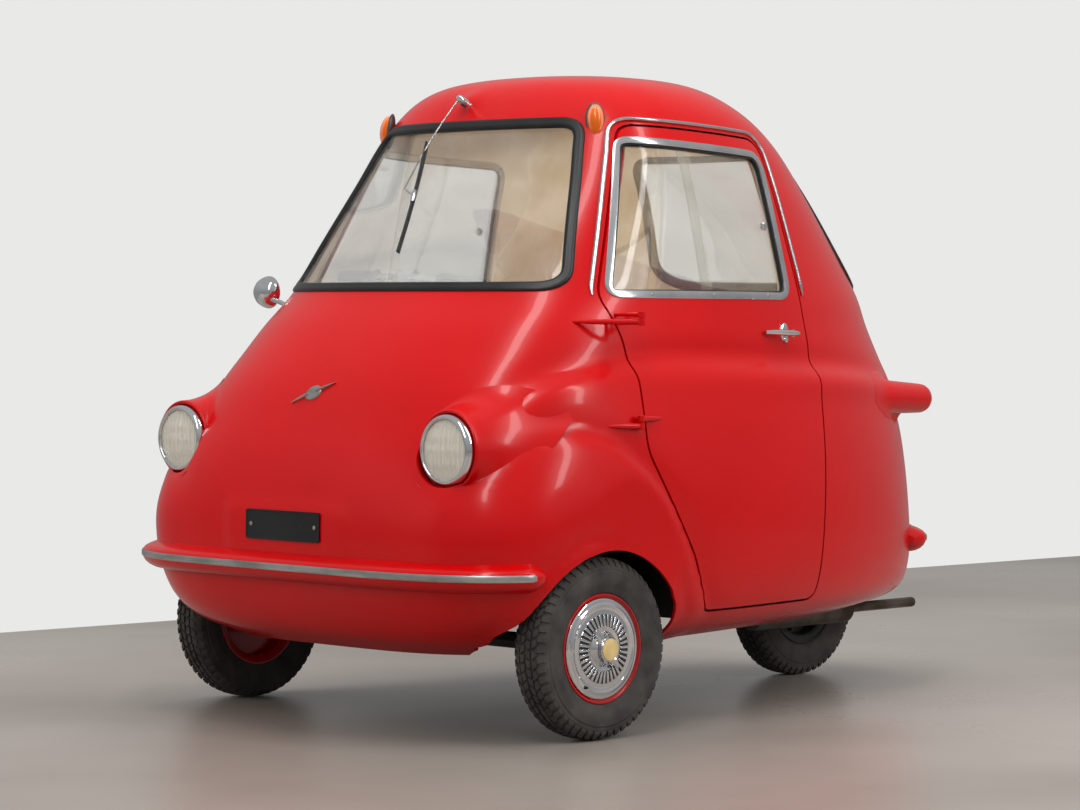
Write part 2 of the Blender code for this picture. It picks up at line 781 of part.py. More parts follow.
def door_panel():
    outer = skin_piece(0.0, SHELL_THICKNESS, side_prism(DOOR_CORNERS, 0.0))
    inner = skin_piece(-DOOR_SKIN_LAP, DOOR_THICKNESS, side_prism(DOOR_CORNERS, -DOOR_RIM))
    panel = fuse(outer, inner)
    cut(panel, side_prism(WINDOW_CORNERS, HAIRLINE))
    for z, _, _, reach, root in HINGES:
        fuse(panel, hinge_half(z, False, reach, root))
    return panel


def window_frame(side):
    return skin_piece(
        WINDOW_FRAME_PROUD,
        WINDOW_FRAME_DEPTH,
        side_prism(WINDOW_CORNERS, 0.0, side),
        side_prism(WINDOW_CORNERS, -WINDOW_FRAME_WIDTH, side),
    )


def window_pane(side):
    outline = side_prism(WINDOW_CORNERS, -WINDOW_FRAME_WIDTH - HAIRLINE, side)
    return skin_piece(-PANE_DEPTH, PANE_DEPTH + PANE_THICKNESS, outline)


def sealed_window(corners, make_prism):
    """A rubber seal and the curved sheet that it holds."""
    seal = skin_piece(SEAL_PROUD, SEAL_DEPTH, make_prism(corners, 0.0), make_prism(corners, -SEAL_WIDTH))
    edge = SEAL_WIDTH + HAIRLINE
    sheet_outline = make_prism(corners, -edge)
    sheet = skin_piece(-PANE_DEPTH, PANE_DEPTH + PANE_THICKNESS, sheet_outline)
    return seal, sheet


def door_handle():
    """A lever on a small escutcheon, standing on the door's skin."""
    x = side_x(HANDLE_Y, HANDLE_Z)
    root = (x - 0.004, HANDLE_Y, HANDLE_Z)
    knob = (x + HANDLE_STAND_OFF, HANDLE_Y, HANDLE_Z)
    escutcheon = rod(root, (x + 0.008, HANDLE_Y, HANDLE_Z), 0.018)
    stem = rod(root, knob, 0.008)
    start = Vector(knob) + Vector((0.0, 0.016, 0.0))
    lever = rod(start, start + Vector((-0.012, -HANDLE_LENGTH, 0.004)), 0.009, 0.006)
    return cut(fuse(escutcheon, stem, lever), body_lump(HAIRLINE))


# Lamps and fittings


def headlamp(side):
    """A chromed rim with a domed lens, seated on the nacelle's face."""
    face = HEADLAMP_DEPTH
    profile = (
        (0.0, 0.0),
        (HEADLAMP_RADIUS * 0.92, 0.0),
        (HEADLAMP_RADIUS, face * 0.25),
        (HEADLAMP_RADIUS, face * 0.60),
        (HEADLAMP_RADIUS * 0.88, face * 0.92),
        (HEADLAMP_RADIUS * 0.84, face * 0.75),
        (HEADLAMP_RADIUS * 0.50, face * 0.92),
        (0.0, face),
    )
    lamp = turned(profile, segments=24)
    place = Matrix.Translation((side * HEADLAMP_X, HEADLAMP_SEAT_Y - HAIRLINE, HEADLAMP_Z))
    return moved(lamp, place @ Matrix.Rotation(math.radians(-90.0), 4, "Z"))


def indicator(side):
    squash = (1.15, 1.25, INDICATOR_HALF_HEIGHT / INDICATOR_RADIUS)
    lamp = ball((side * INDICATOR_X, INDICATOR_Y, INDICATOR_Z), INDICATOR_RADIUS, squash)
    return cut(lamp, body_lump(HAIRLINE), front_prism(WINDSCREEN_CORNERS, HAIRLINE))


def tail_lamp(side):
    _, tip, along = pod_axis(side)
    start = tip + along * HAIRLINE
    return rod(start, start + along * LENS_LENGTH, POD_RADIUS * 0.92, POD_RADIUS * 0.70, segments=20)


def mirror():
    """A round mirror on a short stalk, on the car's right."""
    foot_x = -side_x(MIRROR_Y, MIRROR_FOOT_Z)
    foot = (foot_x + 0.010, MIRROR_Y, MIRROR_FOOT_Z)
    head = Vector((MIRROR_X, MIRROR_Y, MIRROR_Z))
    stalk = rod(foot, head, 0.006)
    base = rod(foot, (foot_x - 0.004, MIRROR_Y, MIRROR_FOOT_Z), 0.014)
    cone_front, cone_rear, rim_front, rim_rear = (
        head + Vector((0.0, y, 0.0)) for y in MIRROR_STEPS
    )
    face = rod(cone_front, cone_rear, MIRROR_BACK_RADIUS, MIRROR_RADIUS, 24)
    rim = rod(rim_front, rim_rear, MIRROR_RADIUS, segments=24)
    return cut(fuse(stalk, base, face, rim), body_lump(HAIRLINE))


def wiper():
    """A single arm from above the windscreen, and its blade."""
    lift = Vector((0.0, -0.020, 0.010))
    pivot = Vector(WIPER_PIVOT)
    elbow = Vector(WIPER_ELBOW) + lift
    top = Vector(WIPER_BLADE_TOP) + lift
    foot = Vector(WIPER_BLADE_FOOT) + lift
    boss = rod(pivot, pivot + Vector((0.0, -0.030, 0.020)), 0.012)
    arm = rod(pivot + Vector((0.0, -0.026, 0.016)), elbow, 0.0045, 0.0035)
    blade = rod(top, foot, 0.005, 0.004, segments=8)
    clasp = ball((top + foot) / 2, 0.009)
    link = rod(elbow, (top + foot) / 2, 0.0035)
    return cut(fuse(boss, arm, link, clasp, blade), body_lump(HAIRLINE))


# Frame, floor and cabin


def chassis_frame():
    """A welded ladder of two rails and cross members, with jacking pads and a spring tower."""
    low = Vector((-RAIL_X - RAIL_WIDTH / 2, RAIL_FRONT_Y, RAIL_BOTTOM_Z))
    high = Vector((RAIL_X + RAIL_WIDTH / 2, RAIL_REAR_Y, RAIL_TOP_Z))
    frame = block(low, high)
    inner_x = RAIL_X - RAIL_WIDTH / 2
    half = CROSS_MEMBER_WIDTH / 2
    starts = [RAIL_FRONT_Y - 0.01] + [y + half for y in CROSS_MEMBERS]
    ends = [y - half for y in CROSS_MEMBERS] + [RAIL_REAR_Y + 0.01]
    for start, end in zip(starts, ends):
        cut(frame, block((-inner_x, start, 0.0), (inner_x, end, 1.0)))
    for side in (1, -1):
        for y in PAD_ROWS:
            low_x = side * RAIL_X - PAD_HALF_WIDTH
            high_x = side * RAIL_X + PAD_HALF_WIDTH
            pad_low = (low_x, y - PAD_HALF_LENGTH, RAIL_BOTTOM_Z - PAD_HEIGHT)
            pad_high = (high_x, y + PAD_HALF_LENGTH, RAIL_BOTTOM_Z + PAD_HEIGHT)
            fuse(frame, block(pad_low, pad_high))
    top_x, _, top_z = DAMPER_TOP
    half = TOWER_WIDTH / 2
    post_low = (RAIL_X - POST_HALF_WIDTH, TOWER_Y - half, RAIL_TOP_Z - POST_SUNK)
    post_high = (RAIL_X + POST_HALF_WIDTH, TOWER_Y + half, top_z + TOWER_BRIDGE_HALF_HEIGHT)
    bridge_low = (top_x + DAMPER_RADIUS + HAIRLINE, TOWER_Y - half, top_z - TOWER_BRIDGE_HALF_HEIGHT)
    bridge_high = (RAIL_X + POST_SUNK, TOWER_Y + half, top_z + TOWER_BRIDGE_HALF_HEIGHT - HAIRLINE)
    return fuse(frame, block(post_low, post_high), block(bridge_low, bridge_high))


def floor_pan():
    """A flat floor with a moulded box over each front wheel, clipped to the inside of the body."""
    pan = block((-FAR, -FAR, FLOOR_BOTTOM_Z), (FAR, FAR, FLOOR_TOP_Z))
    cut(pan, block((-REAR_SLOT_HALF_WIDTH, REAR_SLOT_FRONT_Y, 0.0), (REAR_SLOT_HALF_WIDTH, FAR, FAR)))
    tower_half = TOWER_WIDTH / 2 + TOWER_ROOM
    tower_low = (RAIL_X - RAIL_WIDTH / 2, TOWER_Y - tower_half, 0.0)
    cut(pan, block(tower_low, (RAIL_X + RAIL_WIDTH / 2, TOWER_Y + tower_half, FAR)))
    wall = WHEEL_BOX_WALL
    for side in (1, -1):
        inner = sorted((side * WHEEL_BOX_X, side * FAR))
        outer = sorted((side * (WHEEL_BOX_X - wall), side * (FAR - wall)))
        hull_low = (outer[0], WHEEL_BOX_FRONT_Y - wall, FLOOR_BOTTOM_Z)
        hull_high = (outer[1], WHEEL_BOX_REAR_Y + wall, WHEEL_BOX_TOP_Z + wall)
        fuse(pan, block(hull_low, hull_high))
        cut(pan, block((inner[0], WHEEL_BOX_FRONT_Y, 0.0), (inner[1], WHEEL_BOX_REAR_Y, WHEEL_BOX_TOP_Z)))
    return clip(pan, body_lump(-SHELL_THICKNESS - BOND_GAP))


def seat_base():
    """A plywood box under the cushion, a bulkhead behind it and a shelf over the engine."""
    wall = SEAT_BOX_WALL
    half = SEAT_HALF_WIDTH
    box = block((-half, SEAT_FRONT_Y, SEAT_BOX_BOTTOM_Z), (half, SEAT_REAR_Y, SEAT_BOX_TOP_Z))
    hollow_high = (half - wall, FAR, SEAT_BOX_TOP_Z - wall)
    cut(box, block((-half + wall, SEAT_FRONT_Y + wall, 0.0), hollow_high))
    bulkhead = block((-FAR, SEAT_REAR_Y - wall, SEAT_BOX_TOP_Z - wall), (FAR, SEAT_REAR_Y, SHELF_Z))
    shelf = block((-FAR, SEAT_REAR_Y - wall, SHELF_Z - wall), (FAR, FAR, SHELF_Z))
    fuse(box, bulkhead, shelf)
    return clip(box, body_lump(-DOOR_THICKNESS - DOOR_GAP))


def seat_cushion():
    bottom_z = SEAT_BOX_TOP_Z + HAIRLINE
    low = (-SEAT_HALF_WIDTH, SEAT_FRONT_Y - CUSHION_NOSE, bottom_z)
    high = (SEAT_HALF_WIDTH, SEAT_REAR_Y - SEAT_BOX_WALL - HAIRLINE, bottom_z + CUSHION_THICKNESS)
    return softened(block(low, high), CUSHION_ROUNDING)


def seat_back():
    """The back rest, leaning on the bulkhead and standing on the cushion."""
    back = block((-BACK_HALF_WIDTH, -BACK_THICKNESS, 0.0), (BACK_HALF_WIDTH, 0.0, BACK_HEIGHT))
    softened(back, CUSHION_ROUNDING)
    foot_z = SEAT_BOX_TOP_Z + CUSHION_THICKNESS + 0.004
    foot_y = SEAT_REAR_Y - SEAT_BOX_WALL - math.tan(math.radians(BACK_LEAN)) * (SHELF_Z - foot_z) - 0.001
    lean = Matrix.Rotation(math.radians(-BACK_LEAN), 4, "X")
    return moved(back, Matrix.Translation((0.0, foot_y, foot_z)) @ lean)


def softened(item, radius):
    """Round every edge of a working solid."""
    modifier = item.modifiers.new("soft_edges", "BEVEL")
    modifier.width = radius
    modifier.segments = 3
    modifier.limit_method = "ANGLE"
    graph = bpy.context.evaluated_depsgraph_get()
    mesh = bpy.data.meshes.new_from_object(item.evaluated_get(graph))
    item.modifiers.clear()
    item.data = mesh
    return item


def column_axis():
    foot = Vector((COLUMN_X, *COLUMN_FOOT))
    head = Vector((COLUMN_X, *COLUMN_HEAD))
    return foot, head, (head - foot).normalized()


def steering_column():
    """The fixed tube, cut level with the floor that it is bolted to."""
    foot, head, along = column_axis()
    tube = rod(foot - along * 0.10, head, COLUMN_RADIUS)
    flange = rod(foot - along * 0.10, foot - along * 0.10 + Vector((0, 0, 0.07)), 0.030)
    fuse(tube, flange)
    cut(tube, bore(foot, head + along * 0.05, SHAFT_RADIUS + PIN_CLEARANCE))
    return cut(tube, block((-1.0, -1.0, -1.0), (1.0, 1.0, FLOOR_TOP_Z + HAIRLINE)))


def handlebar():
    """The steering shaft with its cross bar and two grips."""
    foot, head, along = column_axis()
    top = head + along * 0.060
    shaft = rod(foot + along * 0.001, top, SHAFT_RADIUS)
    across = Vector((BAR_HALF_WIDTH, 0.0, 0.0))
    bar = rod(top - across, top + across, BAR_RADIUS)
    fuse(shaft, bar, ball(top, 0.024))
    for side in (1, -1):
        end = top + across * side
        fuse(shaft, rod(end - across * side * 0.45, end + across * side * 0.01, BAR_RADIUS * 1.5))
    return shaft


# Front axle, steering and wheels


def front_axle_beam():
    """A tube between two yokes, each with the kingpin that its knuckle turns on."""
    web_x = KINGPIN_X - YOKE_WIDTH / 2 - 0.006
    beam = rod((-web_x, 0.0, AXLE_Z), (web_x, 0.0, AXLE_Z), BEAM_RADIUS)
    reach = KNUCKLE_HALF_HEIGHT + HAIRLINE
    half = YOKE_WIDTH / 2
    for side in (1, -1):
        inner = side * (web_x - YOKE_LUG)
        outer = side * (KINGPIN_X + half)
        low_x, high_x = sorted((inner, outer))
        yoke = block((low_x, -half, AXLE_Z - reach - YOKE_LUG), (high_x, half, AXLE_Z + reach + YOKE_LUG))
        gap = sorted((side * web_x, side * (KINGPIN_X + 2 * half)))
        cut(yoke, block((gap[0], -2 * half, AXLE_Z - reach), (gap[1], 2 * half, AXLE_Z + reach)))
        low = (side * KINGPIN_X, 0.0, AXLE_Z - reach - YOKE_LUG - 0.004)
        high = (side * KINGPIN_X, 0.0, AXLE_Z + reach + YOKE_LUG + 0.004)
        fuse(beam, fuse(yoke, rod(low, high, KINGPIN_RADIUS)))
    return beam


def knuckle(side):
    """Turns on its kingpin, and carries the stub axle and the steering arm."""
    spot = Vector((side * KINGPIN_X, 0.0, AXLE_Z))
    tall = Vector((0.0, 0.0, KNUCKLE_HALF_HEIGHT))
    body = rod(spot - tall, spot + tall, KNUCKLE_RADIUS)
    stub_end = Vector((side * (TRACK / 2 + HUB_POCKET - 0.002), 0.0, AXLE_Z))
    flange_end = Vector((side * (TRACK / 2 - HUB_INNER - 0.001), 0.0, AXLE_Z))
    fuse(body, rod(spot, stub_end, AXLE_RADIUS), rod(spot, flange_end, AXLE_RADIUS * 1.6))
    eye_x, eye_y = track_rod_eye(side)
    half = STEERING_ARM_THICKNESS / 2
    arm_half = STEERING_ARM_HALF_WIDTH
    arm = block(
        (eye_x - arm_half, 0.0, AXLE_Z - half),
        (eye_x + arm_half, eye_y, AXLE_Z + half),
    )
    boss = rod((eye_x, eye_y, AXLE_Z - half), (eye_x, eye_y, AXLE_Z + half), arm_half * 1.1)
    pin = rod((eye_x, eye_y, AXLE_Z), (eye_x, eye_y, AXLE_Z - TRACK_ROD_DROP - 0.010), BALL_PIN_RADIUS)
    fuse(body, arm, boss, pin)
    reach = tall * 1.2
    return cut(body, bore(spot - reach, spot + reach, KINGPIN_RADIUS + PIN_CLEARANCE))


def track_rod_eye(side):
    """Straight behind the kingpin, so that the two arms and the rod stay a parallelogram."""
    return side * KINGPIN_X, STEERING_ARM_LENGTH


def track_rod():
    """Joins the two steering arms; its right eye is the pivot where the linkage is opened."""
    z = AXLE_Z - TRACK_ROD_DROP
    left_x, y = track_rod_eye(1)
    bar = rod((-left_x, y, z), (left_x, y, z), TRACK_ROD_RADIUS)
    half = TRACK_ROD_RADIUS
    for side, clearance in ((1, PIN_CLEARANCE), (-1, OPEN_PIVOT_CLEARANCE)):
        eye_x = side * left_x
        fuse(bar, rod((eye_x, y, z - half), (eye_x, y, z + half), TRACK_ROD_EYE_RADIUS))
        cut(bar, bore((eye_x, y, z - 0.05), (eye_x, y, z + 0.05), BALL_PIN_RADIUS + clearance))
    return bar


def rim_barrel():
    """The rim from its outer lip, round the bead seats, to its inner lip. Columns: radius, along."""
    lip = RIM_RING_RADIUS
    half = RIM_HALF_WIDTH
    seat = TYRE_BEAD_RADIUS - HAIRLINE
    return (
        (lip, half + 0.004),
        (lip, half),
        (seat, half - 0.004),
        (seat, -half + 0.004),
        (lip, -half),
        (lip, -half - 0.004),
        (lip - 0.004, -half - 0.004),
        (seat - 0.005, -half + 0.006),
        (seat - 0.005, -0.004),
        (HUB_RADIUS, -0.002),
        (HUB_RADIUS, -HUB_INNER),
        (HUB_BORE, -HUB_INNER),
    )


def front_rim():
    """A pressed rim with a domed hub cap over its outer face."""
    cap = (
        (0.0, CAP_PROUD),
        (HUB_RADIUS * 0.9, CAP_PROUD - 0.001),
        (HUB_RADIUS * 1.1, CAP_PROUD - 0.010),
        (CAP_RADIUS * 0.62, CAP_PROUD - 0.008),
        (CAP_RADIUS * 0.85, CAP_PROUD - 0.014),
        (CAP_RADIUS, RIM_HALF_WIDTH),
        (RIM_RING_RADIUS - 0.004, RIM_HALF_WIDTH + 0.004),
    )
    pocket = ((HUB_BORE, HUB_POCKET), (0.0, HUB_POCKET))
    return turned(cap + rim_barrel() + pocket)


def rear_rim():
    """The plain pressed rim, with its hub bored right through."""
    face = (
        (HUB_BORE, HUB_INNER),
        (HUB_RADIUS, HUB_INNER),
        (HUB_RADIUS, 0.004),
        (TYRE_BEAD_RADIUS - 0.007, 0.004),
        (TYRE_BEAD_RADIUS - 0.005, RIM_HALF_WIDTH - 0.006),
        (RIM_RING_RADIUS - 0.004, RIM_HALF_WIDTH + 0.004),
    )
    return turned(face + rim_barrel())


def tyre():
    """A narrow cross-ply tyre; its beads clasp the rim. Columns: radius, half width."""
    wide = TYRE_HALF_WIDTH
    side = (
        (TYRE_BEAD_RADIUS, RIM_HALF_WIDTH - 0.005),
        (RIM_RING_RADIUS, RIM_HALF_WIDTH - 0.0025),
        (RIM_RING_RADIUS + 0.003, RIM_HALF_WIDTH + 0.003),
        (0.160, wide),
        (0.188, wide * 0.90),
        (0.200, wide * 0.70),
        (TYRE_RADIUS, wide * 0.32),
    )
    far_side = [(radius, -along) for radius, along in reversed(side)]
    return turned(list(side) + far_side, segments=TYRE_SEGMENTS)


# Rear end


def swing_arm():
    """Two side arms from a cross tube to the rear axle, with a spring and damper unit."""
    pivot_reach = RAIL_X - RAIL_WIDTH / 2 - HAIRLINE
    pivot_left = (pivot_reach, ARM_PIVOT_Y, ARM_PIVOT_Z)
    arm = rod((-pivot_reach, ARM_PIVOT_Y, ARM_PIVOT_Z), pivot_left, ARM_TUBE_RADIUS)
    half = ARM_HEIGHT / 2
    for side in (1, -1):
        outline = [
            (ARM_PIVOT_Y - 0.016, ARM_PIVOT_Z - half),
            (WHEELBASE + ARM_END, AXLE_Z - half),
            (WHEELBASE + ARM_END, AXLE_Z + half),
            (ARM_PIVOT_Y - 0.016, ARM_PIVOT_Z + half),
        ]
        low, high = sorted((side * ARM_X, side * (ARM_X + ARM_THICKNESS)))
        fuse(arm, prism(outline, "X", low, high))
    reach = ARM_X + ARM_THICKNESS + 0.008
    fuse(arm, rod((-reach, WHEELBASE, AXLE_Z), (reach, WHEELBASE, AXLE_Z), AXLE_RADIUS))
    top = Vector(DAMPER_TOP)
    foot = Vector((top.x, WHEELBASE - 0.040, AXLE_Z + 0.010))
    eye = rod((ARM_X + 0.004, foot.y, foot.z), (top.x + 0.012, foot.y, foot.z), 0.011)
    return fuse(arm, eye, rod(foot, top, DAMPER_RADIUS))


def wheel_guard():
    """A bent steel guard round the front and top of the rear wheel, held between the arms."""
    steps = 22
    first, last = (math.radians(angle) for angle in GUARD_ANGLES)
    outline = []
    for radius, order in ((GUARD_RADIUS + GUARD_THICKNESS, 1), (GUARD_RADIUS, -1)):
        for step in range(steps + 1)[::order]:
            angle = first + (last - first) * step / steps
            outline.append((WHEELBASE + radius * math.cos(angle), AXLE_Z + radius * math.sin(angle)))
    half = ARM_X - HAIRLINE
    return prism(outline, "X", -half, half)


def engine_block():
    """One plain block at the engine's place, bolted to the back of the last cross member."""
    width, length, height = ENGINE_SIZE
    front_y = CROSS_MEMBERS[-1] + CROSS_MEMBER_WIDTH / 2 + HAIRLINE
    low = (-width / 2, front_y, ENGINE_BOTTOM_Z)
    return softened(block(low, (width / 2, front_y + length, ENGINE_BOTTOM_Z + height)), 0.010)


def exhaust():
    """The silencer under the left rail and its tailpipe."""
    z = RAIL_BOTTOM_Z - HAIRLINE - SILENCER_RADIUS
    front, rear, end = (
        Vector((SILENCER_X, y, z)) for y in (SILENCER_FRONT_Y, SILENCER_REAR_Y, TAILPIPE_END_Y)
    )
    can = rod(front, rear, SILENCER_RADIUS, segments=24)
    return fuse(can, rod((front + rear) / 2, end, TAILPIPE_RADIUS))


# Assembly


def car_middle_y():
    """Middle of the car's length, from bumper to bumper, behind the front axle."""
    nose = surface_point(-math.pi / 2, BUMPER_Z).y - BUMPER_PROUD
    tail = surface_point(math.pi / 2, BUMPER_Z).y + BUMPER_PROUD
    return (nose + tail) / 2


def empty(name, parent, place):
    item = bpy.data.objects.new(name, None)
    bpy.context.scene.collection.objects.link(item)
    item.parent = parent
    item.location = place
    return item


def main():
    clear_scene()
    finishes = make_finishes()
    car = empty("car_frame", None, (0.0, -car_middle_y(), 0.0))

    def node(name, item, finish, pivot=None, spot=(0.0, 0.0, 0.0)):
        """Name a finished solid, give it its finish and hang it on the car or on a joint's pivot."""
        item.name = name
        item.data.name = name
        item.data.transform(Matrix.Translation(-Vector(spot)))
        item.data.materials.clear()
        item.data.materials.append(finishes[finish])
        item.data.shade_smooth()
        item.data.set_sharp_from_angle(angle=math.radians(35.0))
        item.parent = pivot or car

    for name, panel in body_panels().items():
        node(name, panel, "body_red")
    for name, first, last in BUMPERS:
        node(name, bumper(first, last), "body_red")
    for name, corners, make_prism in (
        ("windscreen", WINDSCREEN_CORNERS, front_prism),
        ("rear_window", REAR_WINDOW_CORNERS, back_prism),
    ):
        seal, sheet = sealed_window(corners, make_prism)
        node(name + "_seal", seal, "rubber")
        node(name + "_glass", sheet, "clear")
    node("right_window_frame", window_frame(-1), "aluminium")
    node("right_window_glass", window_pane(-1), "clear")
    for side, word in ((1, "left"), (-1, "right")):
        node("headlamp_" + word, headlamp(side), "chrome")
        node("indicator_" + word, indicator(side), "amber")
        node("tail_lamp_" + word, tail_lamp(side), "rim_red")
    node("mirror", mirror(), "chrome")
    node("wiper", wiper(), "chrome")

    node("chassis_frame", chassis_frame(), "black_paint")
    node("floor_pan", floor_pan(), "black_paint")
    node("front_axle_beam", front_axle_beam(), "black_paint")
    node("swing_arm", swing_arm(), "black_paint")
    node("wheel_guard", wheel_guard(), "black_paint")
    node("engine_block", engine_block(), "steel")
    node("exhaust", exhaust(), "steel")
    node("seat_base", seat_base(), "trim")
    node("seat_cushion", seat_cushion(), "vinyl")
    node("seat_back", seat_back(), "vinyl")
    node("steering_column", steering_column(), "black_paint")

    hinge_spot = (HINGE_X, HINGE_Y, 0.0)
    door = empty("door_hinge", car, hinge_spot)
    node("door_panel", door_panel(), "body_red", door, hinge_spot)
    node("door_window_frame", window_frame(1), "aluminium", door, hinge_spot)
    node("door_glass", window_pane(1), "clear", door, hinge_spot)
    node("door_handle", door_handle(), "chrome", door, hinge_spot)

    bar_spot = column_axis()[1]
    node("handlebar", handlebar(), "chrome", empty("bar_turn", car, bar_spot), bar_spot)

    for side, word in ((1, "left"), (-1, "right")):
        king_spot = (side * KINGPIN_X, 0.0, AXLE_Z)
        hub_spot = (side * TRACK / 2, 0.0, AXLE_Z)
        turn = empty("steer_" + word, car, king_spot)
        node("knuckle_" + word, knuckle(side), "black_paint", turn, king_spot)
        spin = empty("wheel_front_" + word, turn, Vector(hub_spot) - Vector(king_spot))
        place = Matrix.Translation(hub_spot)
        if side < 0:
            place = place @ Matrix.Rotation(math.pi, 4, "Z")
        node("tyre_front_" + word, moved(tyre(), place), "tyre", spin, hub_spot)
        node("rim_front_" + word, moved(front_rim(), place), "rim_red", spin, hub_spot)
    eye = (*track_rod_eye(1), AXLE_Z)
    node("track_rod", track_rod(), "black_paint", empty("track_rod_eye", car, eye), eye)

    hub_spot = (0.0, WHEELBASE, AXLE_Z)
    spin = empty("wheel_rear", car, hub_spot)
    place = Matrix.Translation(hub_spot)
    node("tyre_rear", moved(tyre(), place), "tyre", spin, hub_spot)
    node("rim_rear", moved(rear_rim(), place), "rim_red", spin, hub_spot)


main()
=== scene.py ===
"""Looks of a red three-wheeled bubble microcar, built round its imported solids.

Lengths are metres. Shapes are laid out with y = 0 at the front axle, as the solids' own sizes are,
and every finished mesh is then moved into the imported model's frame.
"""

import json
import logging
import math
from dataclasses import dataclass, field
from enum import Enum
from typing import Callable, Iterable, Sequence

import bmesh
import bpy
import numpy as np
from mathutils import Matrix, Vector
from mathutils.kdtree import KDTree

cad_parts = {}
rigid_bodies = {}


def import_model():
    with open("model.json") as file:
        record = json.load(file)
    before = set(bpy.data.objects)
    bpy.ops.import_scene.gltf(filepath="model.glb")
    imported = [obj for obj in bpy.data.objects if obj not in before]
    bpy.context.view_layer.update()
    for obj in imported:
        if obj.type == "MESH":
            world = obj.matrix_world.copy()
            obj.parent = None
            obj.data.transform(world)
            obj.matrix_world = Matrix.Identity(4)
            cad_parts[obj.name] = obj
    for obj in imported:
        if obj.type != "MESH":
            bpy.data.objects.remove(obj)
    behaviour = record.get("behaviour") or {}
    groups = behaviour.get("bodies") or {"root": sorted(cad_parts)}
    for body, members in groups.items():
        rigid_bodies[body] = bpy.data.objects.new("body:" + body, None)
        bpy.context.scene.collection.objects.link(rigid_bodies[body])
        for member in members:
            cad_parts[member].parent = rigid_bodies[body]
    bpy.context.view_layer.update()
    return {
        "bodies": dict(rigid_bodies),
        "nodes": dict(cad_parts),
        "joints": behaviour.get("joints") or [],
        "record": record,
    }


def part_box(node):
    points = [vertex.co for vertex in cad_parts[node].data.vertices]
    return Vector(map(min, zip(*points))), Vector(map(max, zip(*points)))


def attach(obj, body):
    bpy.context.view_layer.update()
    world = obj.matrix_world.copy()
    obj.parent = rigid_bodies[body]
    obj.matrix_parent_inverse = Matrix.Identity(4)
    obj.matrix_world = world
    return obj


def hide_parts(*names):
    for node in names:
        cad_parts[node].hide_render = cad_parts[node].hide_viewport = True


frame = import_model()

ORIGIN = (0.0, 0.0, 0.0)
# A Wave texture of scale 1 repeats each pi / 10 metres
WAVE_SCALE_MM = 314.0

log = logging.getLogger("microcar")

Point2 = tuple[float, float]
Corner = tuple[float, float, float]


def axle_shift() -> float:
    """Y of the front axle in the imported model's frame."""
    low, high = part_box("tyre_front_left")
    return (low.y + high.y) / 2


AXLE_Y = axle_shift()


class Side(Enum):
    """The two sides of the car, as the sign of x."""

    LEFT = 1
    RIGHT = -1

    @property
    def word(self) -> str:
        """The side's name in piece names."""
        return self.name.lower()


class Axis(Enum):
    """Which way an outline is extruded, or a profile is spun."""

    X = 0
    Y = 1
    Z = 2


# Materials


def srgb(code: str) -> tuple[float, float, float, float]:
    """Turn an sRGB hex colour into linear RGBA.

    Args:
        code: six hex digits.

    Returns:
        The linear colour with an alpha of 1.
    """
    parts = [int(code[i : i + 2], 16) / 255 for i in (0, 2, 4)]
    linear = [p / 12.92 if p <= 0.04045 else ((p + 0.055) / 1.055) ** 2.4 for p in parts]
    return (*linear, 1.0)


def add_node(
    tree: bpy.types.NodeTree, kind: str, settings: dict | None = None, links: dict | None = None
) -> bpy.types.Node:
    """Add a node, set its properties and inputs, and link its inputs.

    Args:
        tree: the node tree to add to.
        kind: the node's type name.
        settings: values by property name, or by input name or number.
        links: output sockets by input name or number.

    Returns:
        The new node.
    """
    node = tree.nodes.new(kind)
    for key, value in (settings or {}).items():
        if isinstance(key, str) and hasattr(node, key):
            setattr(node, key, value)
        else:
            node.inputs[key].default_value = value
    for key, socket in (links or {}).items():
        tree.links.new(socket, node.inputs[key])
    return node


